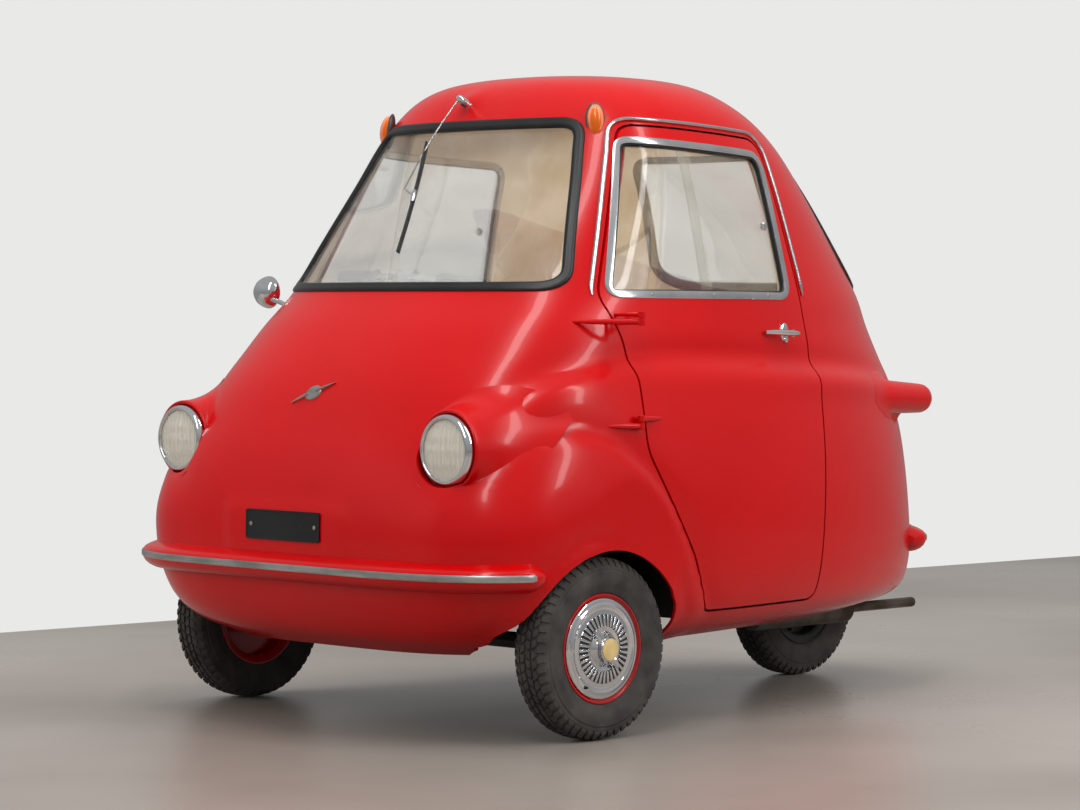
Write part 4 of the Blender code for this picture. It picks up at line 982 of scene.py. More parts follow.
    def grid(self, rows: int, front_steps: int, rear_steps: int) -> tuple[np.ndarray, np.ndarray]:
        """Points and normals of the moulded surface, row by row from the sill.

        Args:
            rows: number of rows.
            front_steps: steps in each front quarter.
            rear_steps: steps in each rear quarter.

        Returns:
            Two arrays of rows, columns and x, y, z; the last column repeats the first.
        """
        profile = np.stack([self._dense[:, 0], self._dense[:, 1], self._dense[:, 3]], axis=1)
        steps = np.sqrt((np.diff(profile, axis=0) ** 2).sum(axis=1))
        along = np.concatenate([[0.0], np.cumsum(steps)])
        t = np.interp(np.linspace(0.0, along[-1], rows), along, self._dense_t)
        values = self.row_values(t)
        rise = np.interp(t, range(len(self.sill_rise)), self.sill_rise)
        places = np.zeros((rows, 2 * (front_steps + rear_steps) + 1, 3))
        for k, row in enumerate(values):
            nose = self.quadrant(row, True, front_steps)
            tail = self.quadrant(row, False, rear_steps)
            mirror = np.array([-1.0, 1.0])
            ring = np.vstack([nose, (nose * mirror)[::-1][1:], (tail * mirror)[1:], tail[::-1][1:]])
            places[k, :, :2] = ring
            places[k, :, 2] = row[0] + rise[k] * ring[:, 1]
        normals = self.normals(places)
        lift = self.relief(places[..., 0], places[..., 1], places[..., 2])
        lifted = places + normals * lift[..., None]
        lifted[..., 0] = np.clip(lifted[..., 0], -self.half_width, self.half_width)
        return lifted, self.normals(lifted)

    @staticmethod
    def normals(places: np.ndarray) -> np.ndarray:
        """Outward normals of a closed grid of points."""
        ring = places[:, :-1]
        around = np.roll(ring, -1, axis=1) - np.roll(ring, 1, axis=1)
        up = np.gradient(ring, axis=0)
        across = np.cross(up, around)
        length = np.linalg.norm(across, axis=2, keepdims=True)
        across /= np.maximum(length, 1e-12)
        across[-1] = (0.0, 0.0, 1.0)
        return np.concatenate([across, across[:, :1]], axis=1)

    def on_side(self, y: float, z: float, side: Side = Side.LEFT) -> Vector:
        """The point of the body's side at a place along it and a height."""
        x = self.side_x(y, z)
        lift = float(self.relief(np.array([x]), np.array([y]), np.array([z]))[0])
        return Vector((side.value * (x + lift), y, z))


class Face(Enum):
    """Which face of the body an outline is drawn on."""

    LEFT = "left"
    RIGHT = "right"
    NOSE = "nose"
    TAIL = "tail"


@dataclass
class Opening:
    """A window's outline on one face of the body. Corners are y or x, z and corner radius."""

    form: BodyForm
    face: Face
    corners: Sequence[Corner]
    count: int = 200

    def outline(self, distance: float = 0.0) -> list[Point2]:
        """The outline, moved outwards by a distance, as evenly spaced points."""
        return evened(rounded(grown(self.corners, distance), 14), self.count)

    def lay(self, flat: np.ndarray) -> np.ndarray:
        """Points of the body's surface under outline points, both as rows of an array."""
        a, b = flat[:, 0], flat[:, 1]
        if self.face in (Face.NOSE, Face.TAIL):
            return np.stack([a, self.form.ends_y(a, b, self.face is Face.TAIL), b], axis=1)
        x = self.form.sides_x(a, b)
        x = x + self.form.relief(x, a, b)
        return np.stack([x if self.face is Face.LEFT else -x, a, b], axis=1)

    def normals(self, flat: np.ndarray, step: float = 0.006) -> np.ndarray:
        """Outward normals of the body's surface under outline points."""
        along = self.lay(flat + (step, 0.0)) - self.lay(flat - (step, 0.0))
        up = self.lay(flat + (0.0, step)) - self.lay(flat - (0.0, step))
        across = np.cross(along, up)
        across /= np.linalg.norm(across, axis=1, keepdims=True)
        return across * np.sign(across @ np.array(self.outwards()))[:, None]

    def outwards(self) -> Vector:
        """Roughly away from the car on this face."""
        ways = {Face.LEFT: (1, 0, 0), Face.RIGHT: (-1, 0, 0), Face.NOSE: (0, -1, 0.3), Face.TAIL: (0, 1, 0.3)}
        return Vector(ways[self.face])

    def cutter(self, distance: float) -> bmesh.types.BMesh:
        """A prism through this face, for cutting the body."""
        reach = {
            Face.LEFT: (0.15, 0.80), Face.RIGHT: (-0.80, -0.15), Face.NOSE: (-0.60, 0.40),
            Face.TAIL: (0.60, 1.80)
        }
        low, high = reach[self.face]
        axis = Axis.X if self.face in (Face.LEFT, Face.RIGHT) else Axis.Y
        return slab(self.outline(distance), axis, low, high)

    def moulding(self, profile: Sequence[Point2], distance: float = 0.0) -> bmesh.types.BMesh:
        """Run a closed profile round the outline.

        Args:
            profile: points as distance outwards in the surface, and height over it.
            distance: where the profile's own origin runs, from the outline.

        Returns:
            A closed ring.
        """
        flat = np.array(self.outline(distance))
        spots = [Vector(spot) for spot in self.lay(flat)]
        tall = [Vector(way) for way in self.normals(flat)]
        count = len(flat)
        middle = sum(spots, Vector()) / count
        wide = []
        for i in range(count):
            along = spots[(i + 1) % count] - spots[i - 1]
            out = tall[i].cross(along).normalized()
            wide.append(out if out.dot(spots[i] - middle) > 0 else -out)

        def spot(i: int, j: int) -> Vector:
            """A vertex of the ring."""
            k = i % count
            out, up = profile[j % len(profile)]
            return spots[k] + wide[k] * out + tall[k] * up

        return sheet(count + 1, len(profile) + 1, spot)

    def pane(self, distance: float, depth: float, thickness: float, rings: int = 14) -> bmesh.types.BMesh:
        """A sheet of glass that follows the body inside the outline.

        Args:
            distance: where its edge runs, from the outline.
            depth: how far its outer face lies under the body's surface.
            thickness: its thickness.
            rings: steps from its middle to its edge.

        Returns:
            A closed sheet.
        """
        flat = np.array(self.outline(distance))
        count, centre = len(flat), flat.mean(axis=0)
        rows = [centre + (flat - centre) * (k / rings) for k in range(rings + 1)]
        faces = [(self.lay(row), self.normals(row)) for row in rows]

        def spot(i: int, j: int) -> Vector:
            """A vertex of the sheet: out over its front, then back over its rear."""
            places, ways = faces[j if j <= rings else 2 * rings + 1 - j]
            level = depth if j <= rings else depth + thickness
            return Vector(places[i % count] - ways[i % count] * level)

        return sheet(count + 1, 2 * rings + 2, spot)


DOOR_CORNERS = (
    (0.345, 0.270, 0.020), (0.290, 0.400, 0.300), (0.135, 0.650, 0.120), (0.138, 0.860, 0.120),
    (0.104, 0.990, 0.060), (0.285, 1.387, 0.050), (0.740, 1.366, 0.060), (0.790, 0.990, 0.400),
    (0.809, 0.790, 0.400), (0.768, 0.272, 0.030),
)
WINDOW_CORNERS = ((0.113, 0.986, 0.030), (0.264, 1.362, 0.045), (0.735, 1.340, 0.060), (0.751, 0.984, 0.045))
WINDSCREEN_CORNERS = (
    (-0.476, 1.000, 0.040), (0.476, 1.000, 0.040), (0.336, 1.407, 0.080), (-0.336, 1.407, 0.080)
)
REAR_WINDOW_CORNERS = (
    (-0.350, 1.010, 0.070), (0.350, 1.010, 0.070), (0.250, 1.362, 0.080), (-0.250, 1.362, 0.080)
)


@dataclass
class Bodywork:
    """The glass-fibre body: its skin, the door's skin, and the sizes of its nacelles, tail pods and bumpers.
    """

    form: BodyForm
    rows: int = 118
    front_steps: int = 66
    rear_steps: int = 74
    wall: float = 0.007
    door_gap: float = 0.0055
    lamp_x: float = 0.461
    lamp_z: float = 0.650
    lamp_seat_y: float = -0.300
    lamp_radius: float = 0.081
    nacelle_radius: float = 0.0905
    nacelle_lip: float = 0.016
    tail_tip: tuple[float, float, float] = (0.395, 1.405, 0.735)
    tail_root: tuple[float, float, float] = (0.452, 0.960, 0.752)
    tail_radius: float = 0.037
    bumper_z: float = 0.375
    bumper_proud: float = 0.042
    bumper_half_height: float = 0.035
    kingpin_x: float = 0.505
    kingpin_offset: float = 0.085
    # How far a front wheel steers each way, in degrees
    full_lock: int = 24
    axle_z: float = 0.205
    # Across: where a front arch's cut starts and ends
    arch_span: Point2 = (0.446, 0.80)
    # Radius and half width of the cut that the rear tyre stands in
    rear_notch: Point2 = (0.224, 0.075)
    # Across and up: what is cut off below the nose's lower edge
    chin_line: tuple[Point2, ...] = (
        (0.18, 0.020), (0.64, 0.020), (0.64, 0.345), (0.60, 0.285), (0.56, 0.238), (0.51, 0.198),
        (0.45, 0.168), (0.39, 0.151), (0.33, 0.139), (0.27, 0.129), (0.22, 0.119), (0.18, 0.100),
    )
    pin_reach: float = 0.2154
    # Radius and half width of the room that a front tyre needs, 6 mm clear of its tread and walls
    tyre_room: tuple[Point2, ...] = (
        (0.176, 0.0545), (0.192, 0.0515), (0.199, 0.0475), (0.205, 0.0415), (0.2085, 0.036), (0.2108, 0.027),
        (0.2108, 0.010),
    )

    def skin(self) -> tuple[bpy.types.Object, "NormalField"]:
        """The whole skin as a thin closed shell, and the true normals of its surface."""
        places, normals = self.form.grid(self.rows, self.front_steps, self.rear_steps)
        columns = places.shape[1]
        shell = linked("skin", as_mesh(sheet(columns, self.rows, lambda i, j: places[j, i]), "skin"))
        wall = shell.modifiers.new("wall", "SOLIDIFY")
        wall.thickness = self.wall
        wall.offset = -1.0
        wall.material_offset = 1
        wall.use_even_offset = False
        shell.data.materials.append(None)
        shell.data.materials.append(None)
        return baked(shell), NormalField(places.reshape(-1, 3), normals.reshape(-1, 3))

    def openings(self) -> list[bmesh.types.BMesh]:
        """Cutters for everything that is open in the fixed skin."""
        form = self.form
        cutters = [
            Opening(form, Face.LEFT, DOOR_CORNERS).cutter(self.door_gap),
            Opening(form, Face.RIGHT, WINDOW_CORNERS).cutter(-0.004),
            Opening(form, Face.NOSE, WINDSCREEN_CORNERS).cutter(-0.006),
            Opening(form, Face.TAIL, REAR_WINDOW_CORNERS).cutter(-0.006),
        ]
        for side in Side:
            inner, outer = self.arch_span
            arch = [(0.0, inner), (form.arch_radius, inner), (form.arch_radius, outer), (0.0, outer)]
            cutters.append(spun(arch, (0.0, form.arch_y, form.arch_z), Axis.X, 96, facing=side.value))
            bowl = [(0.0, 0.0), (self.lamp_radius + 0.001, 0.0), (self.lamp_radius + 0.001, 0.2), (0.0, 0.2)]
            seat = (side.value * self.lamp_x, self.lamp_seat_y, self.lamp_z)
            cutters.append(spun(bowl, seat, Axis.Y, 64, facing=-1))
        return cutters

    def steered_tyres(self) -> bmesh.types.BMesh:
        """Room for both front tyres, from straight ahead to their fronts turned fully inboard."""
        hulls = []
        for side in Side:
            hull = bmesh.new()
            pin = Matrix.Translation((side.value * self.kingpin_x, 0.0, self.axle_z))
            offset = Matrix.Translation((side.value * self.kingpin_offset, 0.0, 0.0))
            for degrees in range(0, self.full_lock + 1, 2):
                place = pin @ Matrix.Rotation(math.radians(-side.value * degrees), 4, "Z") @ offset
                for step in range(96):
                    angle = math.tau * step / 96
                    for radius, across in self.tyre_room:
                        y, z = radius * math.cos(angle), radius * math.sin(angle)
                        hull.verts.new(place @ Vector((across, y, z)))
                        hull.verts.new(place @ Vector((-across, y, z)))
            made = bmesh.ops.convex_hull(hull, input=hull.verts[:])
            within = made["geom_interior"] + made["geom_unused"]
            spare = {item for item in within if isinstance(item, bmesh.types.BMVert)}
            bmesh.ops.delete(hull, geom=list(spare), context="VERTS")
            hulls.append(hull)
        return joined(*hulls)

    def pin_room(self) -> bmesh.types.BMesh:
        """Room round both kingpins, which ends the nose's lower edge in one curve."""
        balls = []
        for side in Side:
            ball = bmesh.new()
            bmesh.ops.create_uvsphere(ball, u_segments=96, v_segments=64, radius=self.pin_reach)
            pin = Matrix.Translation((side.value * self.kingpin_x, 0.0, self.axle_z))
            bmesh.ops.transform(ball, matrix=pin, verts=ball.verts)
            balls.append(ball)
        return joined(*balls)

    def chin(self) -> bmesh.types.BMesh:
        """Prisms that lift the nose's lower edge towards the wheels."""
        prisms = []
        for side in Side:
            corners = [(side.value * x, z) for x, z in self.chin_line]
            prisms.append(slab(corners if side is Side.LEFT else corners[::-1], Axis.Y, -0.46, 0.05))
        return joined(*prisms)

    def build(self) -> None:
        """Make the body's skin and the door's skin."""
        shell, surface = self.skin()
        door = linked("door", shell.data.copy())
        carve(shell, joined(*self.openings()))
        reach, half = self.rear_notch
        notch = [(0.0, -half), (reach, -half), (reach, half), (0.0, half)]
        notch_cut = spun(notch, (0.0, self.form.rear_axle_y, self.axle_z), Axis.X, 64)
        carve(shell, notch_cut)
        for cut in (self.chin(), self.pin_room(), self.steered_tyres()):
            carve(shell, cut)
        nodes = ["shell_nose", "shell_side_left", "shell_side_right", "shell_tail", "shell_roof"]
        skin = piece("body_skin", shell, (BODY_RED, TRIM_BOARD), replaces=nodes)
        surface.apply(skin)
        window = Opening(self.form, Face.LEFT, WINDOW_CORNERS)
        carve(door, Opening(self.form, Face.LEFT, DOOR_CORNERS).cutter(0.0), "INTERSECT")
        carve(door, window.cutter(-0.004))
        leaf = piece("door_skin", door, (BODY_RED, TRIM_BOARD), "door", ("door_panel",))
        surface.apply(leaf)


class NormalField:
    """The true normals of the body's surface, looked up from the nearest grid points."""

    def __init__(self, places: np.ndarray, normals: np.ndarray) -> None:
        """Index the grid.

        Args:
            places: points of the surface, laid out from the front axle.
            normals: their outward normals.
        """
        self.normals = normals
        self.tree = KDTree(len(places))
        for index, place in enumerate(places):
            self.tree.insert(place, index)
        self.tree.balance()

    def at(self, place: Vector) -> Vector:
        """The surface's normal at a place."""
        total = Vector((0.0, 0.0, 0.0))
        for _, index, distance in self.tree.find_n(place, 4):
            total += Vector(self.normals[index]) / (distance + 1e-5) ** 2
        return total.normalized()

    def apply(self, item: bpy.types.Object, near: float = 0.0035) -> None:
        """Give the outer faces of a cut skin the surface's own normals.

        Args:
            item: a finished piece.
            near: how far a vertex may lie off the surface and still count as outside.
        """
        mesh = item.data
        back = Vector((0.0, AXLE_Y, 0.0))
        known: dict[int, Vector | None] = {}
        for vert in mesh.vertices:
            place = vert.co - back
            normal = self.at(place)
            spot, _, _ = self.tree.find(place)
            known[vert.index] = normal if abs((place - spot).dot(normal)) < near else None
        corners = [Vector(corner.vector) for corner in mesh.corner_normals]
        for face in mesh.polygons:
            for loop, vert in zip(face.loop_indices, face.vertices):
                normal = known[vert]
                if normal is not None and face.normal.dot(normal) > 0.85:
                    corners[loop] = normal
        mesh.normals_split_custom_set(corners)


# Mouldings, windows, lamps, wheels and fittings


@dataclass
class BodyDetail:
    """Red mouldings that stand on the skin: nacelles, tail pods, hinges and bumper ridges."""

    form: BodyForm
    work: Bodywork
    hinge_x: float = 0.644
    hinge_y: float = 0.107
    barrel_radius: float = 0.0085
    barrel_half: float = 0.016
    # How much of the bumper's section is left at its very end, and how far in it is whole
    end_share: float = 0.30
    taper_length: float = 0.045
    # How much sooner than the bumper its strip ends, in degrees
    strip_inset: float = 0.9
    # Columns: z, then distances from the pin: body half, its root, door half, its root
    hinges: tuple[tuple[float, ...], ...] = (
        (0.940, 0.085, 0.012, 0.060, 0.020),
        (0.707, 0.085, 0.012, 0.085, 0.048),
    )
    # Columns: name, first angle, last angle round the plan outline in degrees
    bumpers: tuple[tuple[str, float, float], ...] = (
        ("bumper_front", -158.0, -22.0), ("bumper_rear", 56.0, 124.0)
    )

    def nacelle(self, side: Side) -> bmesh.types.BMesh:
        """The moulded bowl that swells out of the wing and holds a headlamp."""
        work = self.work
        around, steps = 72, 12
        lip_y = work.lamp_seat_y - work.nacelle_lip

        def skin_y(x: float, z: float) -> float:
            """Y of the body's nose beside the lamp."""
            return self.form.end_y(min(abs(x), 0.60), z)

        def spot(i: int, j: int) -> Vector:
            """A vertex: over the flare, round the lip and down the cup."""
            angle = math.tau * i / around
            c, s = math.cos(angle), math.sin(angle)

            def at(radius: float, y: float | None = None) -> Vector:
                """A place at a radius from the lamp's axis, on the skin if no y is given."""
                x, z = work.lamp_x + radius * c, work.lamp_z + radius * s
                return Vector((side.value * x, skin_y(x, z) + 0.0015 if y is None else y, z))

            rim = work.nacelle_radius
            gap = max(at(rim).y - lip_y, 0.0)
            if j <= steps:
                wide = rim + 0.006 + 0.50 * gap
                start, end = at(wide), at(rim, lip_y + 0.004)
                first, second = at(rim + (wide - rim) * 0.40), at(rim, lip_y + 0.004 + 0.60 * gap)
                t = j / steps
                u = 1.0 - t
                return start * u**3 + first * 3 * u * u * t + second * 3 * u * t * t + end * t**3
            inner = (
                (rim - 0.0012, lip_y + 0.001), (rim - 0.004, lip_y),
                (work.lamp_radius + 0.0012, lip_y + 0.003)
            )
            cup = (
                *inner, (work.lamp_radius + 0.0012, work.lamp_seat_y + 0.012),
                (0.030, work.lamp_seat_y + 0.020)
            )
            return at(*cup[min(j - steps - 1, 4)])

        return sheet(around + 1, steps + 6, spot)

    def pod(self, side: Side) -> bmesh.types.BMesh:
        """The pod that the shoulder runs out into, with the tail lamp's seat on its end."""
        work = self.work
        root, tip = np.array(work.tail_root), np.array(work.tail_tip)
        along = (tip - root) / np.linalg.norm(tip - root)
        across = np.cross(along, (0.0, 0.0, 1.0))
        across /= np.linalg.norm(across)
        up = np.cross(across, along)
        steps, around = 56, 72
        shares = np.concatenate([np.linspace(0.0, 0.985, steps), [0.9935, 0.998, 1.0, 1.0, 0.994, 0.994]])
        radii = np.interp(
            shares, (0.0, 0.35, 0.60, 0.90, 0.985), (0.010, 0.036, 0.043, 0.0385, work.tail_radius)
        )
        radii[steps:] = (0.0365, 0.0355, 0.0340, 0.0300, 0.0285, 0.0)
        angles = np.linspace(0.0, math.tau, around + 1)
        ways = np.cos(angles)[:, None] * across + np.sin(angles)[:, None] * up
        centres = root + (tip - root) * shares[:, None]

        def within(reach: np.ndarray) -> np.ndarray:
            """Whether places at a reach from the pod's axis lie inside the plain body."""
            there = centres[:, None] + ways[None] * reach[..., None]
            y, z = there[..., 1].ravel(), there[..., 2].ravel()
            edge = self.form.sides_x(y, z)
            return there[..., 0] < (edge + self.form.relief(edge, y, z)).reshape(reach.shape)

        step = np.broadcast_to(radii[:, None] * 1.6 / 24, (len(shares), around + 1))
        low = np.zeros(step.shape)
        for k in range(25):
            low = np.where(within(step * k), step * k, low)
        high = np.where(low < step * 23.5, low + step, low)
        for _ in range(8):
            middle = (low + high) / 2
            held = within(middle)
            low, high = np.where(held, middle, low), np.where(held, high, middle)
        skin = np.maximum(low - 0.0016, 0.0)
        full = (radii[:, None] ** 4 + skin**4) ** 0.25
        full[steps:] = radii[steps:, None]
        places = centres[:, None] + ways[None] * full[..., None]
        places[..., 0] *= side.value
        return sheet(len(shares), around + 1, lambda i, j: places[i, j])

    def hinge_half(self, row: Sequence[float], forward: bool) -> bmesh.types.BMesh:
        """One painted hinge leaf with its half of the barrel.

        Args:
            row: the hinge's sizes.
            forward: the half on the body.

        Returns:
            The leaf and its barrel.
        """
        z, body_reach, body_root, door_reach, door_root = row
        reach, root = (body_reach, body_root) if forward else (door_reach, door_root)
        way = -1.0 if forward else 1.0
        low, high = (z - self.barrel_half, z - 0.0004) if forward else (z + 0.0004, z + self.barrel_half)
        radius = self.barrel_radius
        ends = [(0.0, low), (radius * 0.8, low), (radius, low + 0.0015), (radius, high - 0.0015)]
        barrel = spun(
            [*ends, (radius * 0.8, high), (0.0, high)], (self.hinge_x, self.hinge_y, 0.0), Axis.Z, 24
        )
        middle = (low + high) / 2
        far = self.form.on_side(self.hinge_y + way * reach, middle)
        near = self.form.on_side(self.hinge_y + way * root, middle)
        pin = Vector((self.hinge_x, self.hinge_y, middle))
        tall = (high - low) / 2
        line = [far - Vector((0.004, 0, 0)), far.lerp(pin, 0.35), far.lerp(pin, 0.7), pin]
        leaf = bar(line, (tall * 0.35, tall * 0.75, tall * 0.85, tall * 0.8), 16, 1.0)
        brace = bar(
            [near - Vector((0.004, 0, 0)), near.lerp(pin, 0.5), pin], (tall * 0.5, tall * 0.6, tall * 0.7), 16
        )
        return joined(barrel, leaf, brace)

    def ridge(self, first: float, last: float, profile: Sequence[Point2], steps: int) -> bmesh.types.BMesh:
        """Run a profile along the body at the bumper's height.

        Args:
            first: first angle round the plan outline.
            last: last angle.
            profile: points as reach outwards and lift, in metres.
            steps: steps along it.

        Returns:
            A closed moulding that tapers at both ends.
        """
        z = self.work.bumper_z
        row = np.array([float(v[0]) for v in self.form.at_height(z)])
        _, y_front, y_rear, half, wide, n_front, n_rear = row

        def plan(angle: float) -> Vector:
            """A point of the plan outline."""
            c, s = math.cos(angle), math.sin(angle)
            power = 2.0 / (n_front if s < 0 else n_rear)
            reach = wide - y_front if s < 0 else y_rear - wide
            y = wide + reach * math.copysign(abs(s) ** power, s)
            return Vector((half * math.copysign(abs(c) ** power, c), y, z))

        fine = [plan(math.radians(first + (last - first) * k / 1200)) for k in range(1201)]
        along = np.concatenate([[0.0], np.cumsum([(b - a).length for a, b in zip(fine, fine[1:])])])
        wanted = np.interp(np.linspace(0.0, along[-1], steps + 1), along, range(1201))
        spots = [fine[int(round(k))] for k in wanted]
        length = float(along[-1])

        def spot(i: int, j: int) -> Vector:
            """A vertex of the moulding; the first and last columns close its ends."""
            k = min(max(i - 1, 0), steps)
            way = spots[min(k + 1, steps)] - spots[max(k - 1, 0)]
            out = Vector((way.y, -way.x, 0.0)).normalized()
            from_end = min(k, steps - k) / steps * length
            bow = math.sin(min(from_end / self.taper_length, 1.0) * math.pi / 2)
            taper = min(1.0, self.end_share + (1.0 - self.end_share) * bow)
            reach, lift = profile[j % len(profile)]
            if i in (0, steps + 2):
                reach, lift = profile[0][0] * 0.5, 0.0
            return spots[k] + out * (reach * taper) + Vector((0.0, 0.0, lift * taper))

        return sheet(steps + 3, len(profile) + 1, spot)

    def build(self) -> None:
        """Make the mouldings and the strips on the bumpers."""
        for side in Side:
            piece(f"nacelle_{side.word}", self.nacelle(side), BODY_RED, crease=50.0)
            piece(f"tail_pod_{side.word}", self.pod(side), BODY_RED, crease=50.0)
        for word, row in zip(("upper", "lower"), self.hinges):
            piece(f"hinge_{word}_body", self.hinge_half(row, True), BODY_RED)
            piece(f"hinge_{word}_door", self.hinge_half(row, False), BODY_RED, "door")
        proud, half = self.work.bumper_proud, self.work.bumper_half_height
        shape = (
            (-0.10, -1.0), (0.10, -1.0), (0.38, -0.93), (0.66, -0.76), (0.86, -0.54), (0.97, -0.30),
            (1.0, -0.08), (1.0, 0.10), (0.97, 0.26), (0.86, 0.42), (0.62, 0.58), (0.34, 0.70), (0.12, 0.84),
            (-0.10, 1.0),
        )
        ridge = [(reach * proud, lift * half) for reach, lift in shape]
        strip = [
            (proud - 0.003, -0.0078), (proud + 0.001, -0.0078), (proud + 0.0024, -0.0055),
            (proud + 0.0028, 0.0),
            (proud + 0.0024, 0.0055), (proud + 0.001, 0.0078), (proud - 0.003, 0.0078),
        ]
        for name, first, last in self.bumpers:
            steps = 140 if name == "bumper_front" else 70
            piece(
                f"{name}_ridge", self.ridge(first, last, ridge, steps), BODY_RED, replaces=(name,),
            )
            trim = self.ridge(first + self.strip_inset, last - self.strip_inset, strip, steps)
            piece(f"{name}_strip", trim, DULL_ALUMINIUM)


@dataclass
class Glazing:
    """Seals, frames and panes of the four windows, and the rain gutter over the door."""

    form: BodyForm
    seal_profile: tuple[Point2, ...] = (
        (-0.028, -0.004), (-0.0275, 0.001), (-0.025, 0.0042), (-0.019, 0.0062), (-0.015, 0.0052),
        (-0.011, 0.0062), (-0.005, 0.0058), (-0.001, 0.0036), (0.0, 0.0), (-0.001, -0.006), (-0.006, -0.012),
        (-0.023, -0.012),
    )
    frame_profile: tuple[Point2, ...] = (
        (-0.018, -0.006), (-0.018, 0.0015), (-0.0168, 0.0032), (-0.012, 0.0040), (-0.006, 0.0040),
        (-0.0015, 0.0034), (0.0, 0.0018), (0.0, -0.004), (-0.003, -0.012), (-0.015, -0.018), (-0.018, -0.014),
    )

    def fixed(self, word: str, face: Face, corners: Sequence[Corner]) -> None:
        """One curved pane in a black rubber seal.

        Args:
            word: the window's name.
            face: the face of the body.
            corners: its outline.
        """
        opening = Opening(self.form, face, corners)
        rubber = opening.moulding(self.seal_profile)
        piece(f"{word}_rubber", rubber, SEAL_RUBBER, replaces=(f"{word}_seal",), crease=60.0)
        glass = opening.pane(-0.021, 0.004, 0.004)
        piece(f"{word}_pane", glass, CLEAR_GLASS, replaces=(f"{word}_glass",), crease=50.0)

    def sliding(self, face: Face, body: str, frame_node: str, glass_node: str) -> None:
        """An aluminium frame with two panes that slide past each other.

        Args:
            face: the side of the body.
            body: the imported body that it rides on.
            frame_node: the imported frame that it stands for.
            glass_node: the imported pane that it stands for.
        """
        word = face.value
        opening = Opening(self.form, face, WINDOW_CORNERS)
        frame_ring = opening.moulding(self.frame_profile)
        piece(f"{word}_frame", frame_ring, BRIGHT_ALUMINIUM, body, (frame_node,), crease=30.0)
        felt = opening.moulding([(-0.021, -0.002), (-0.021, -0.013), (-0.017, -0.013), (-0.017, -0.002)])
        piece(f"{word}_channel", felt, SEAL_RUBBER, body)
        lap = 0.030
        for name, depth, edge, keep_front in (
            ("front", 0.004, 0.445, True), ("rear", 0.0095, 0.445 - lap, False)
        ):
            glass = opening.pane(-0.017, depth, 0.0032)
            geom = [*glass.verts, *glass.edges, *glass.faces]
            made = bmesh.ops.bisect_plane(
                glass, geom=geom, plane_co=(0.0, edge, 0.0), plane_no=(0.0, 1.0, 0.0),
                clear_outer=keep_front, clear_inner=not keep_front,
            )
            rim = [item for item in made["geom_cut"] if isinstance(item, bmesh.types.BMEdge)]
            bmesh.ops.edgeloop_fill(glass, edges=rim)
            fresh(glass)
            stands_for = (glass_node,) if keep_front else ()
            piece(f"{word}_pane_{name}", glass, CLEAR_GLASS, body, stands_for, crease=40.0)
        for name, y, z in (("front", 0.200, 1.170), ("rear", 0.690, 1.160)):
            at = Vector(opening.lay(np.array([[y, z]]))[0])
            out = opening.outwards().x
            knob = [
                (0.0, -0.002), (0.009, -0.002), (0.010, 0.0), (0.010, 0.003), (0.007, 0.006), (0.0, 0.0065)
            ]
            place = (at.x - out * 0.006, y, z)
            piece(
                f"{word}_catch_{name}", spun(knob, place, Axis.X, 24, facing=int(out)), CHROME, body,
            )

    def screws(self) -> None:
        """Three round-headed screws along the bottom of the door window's frame."""
        opening = Opening(self.form, Face.LEFT, WINDOW_CORNERS)
        for index, y in enumerate((0.235, 0.440, 0.650)):
            at = Vector(opening.lay(np.array([[y, 0.994]]))[0])
            head = [(0.0, 0.0), (0.0038, 0.0), (0.0036, 0.0012), (0.0022, 0.0022), (0.0, 0.0026)]
            dot = spun(head, (at.x + 0.0038, y, 0.994), Axis.X, 16)
            piece(f"frame_screw_{index + 1}", dot, DULL_ALUMINIUM, "door")

    def gutter(self) -> bmesh.types.BMesh:
        """The aluminium gutter that runs over the door."""
        opening = Opening(self.form, Face.LEFT, DOOR_CORNERS, count=360)
        ring = [(y, z) for y, z in opening.outline(0.017)]
        low = min(range(len(ring)), key=lambda k: abs(ring[k][1] - 0.30) + abs(ring[k][0] - 0.5))
        ordered = ring[low:] + ring[:low]
        kept = np.array([(y, z) for y, z in ordered if z > 0.985])
        line = [Vector(spot) for spot in opening.lay(kept) + opening.normals(kept) * 0.0022]
        radii = [0.0062 * min(1.0, 0.4 + 0.2 * min(k, len(line) - 1 - k)) for k in range(len(line))]
        return bar(line, radii, 12, 0.75)

    def door_seal(self) -> bmesh.types.BMesh:
        """The rubber strip behind the door's gap."""
        opening = Opening(self.form, Face.LEFT, DOOR_CORNERS)
        return opening.moulding(
            [(-0.006, -0.0105), (0.016, -0.0085), (0.018, -0.012), (0.010, -0.017), (-0.004, -0.016)]
        )

    def build(self) -> None:
        """Make every window."""
        self.fixed("windscreen", Face.NOSE, WINDSCREEN_CORNERS)
        self.fixed("rear_window", Face.TAIL, REAR_WINDOW_CORNERS)
        self.sliding(Face.LEFT, "door", "door_window_frame", "door_glass")
        self.sliding(Face.RIGHT, "root", "right_window_frame", "right_window_glass")
        self.screws()
        piece("gutter_left", self.gutter(), BRIGHT_ALUMINIUM, crease=60.0)
        piece("door_weatherstrip", self.door_seal(), SEAL_RUBBER)


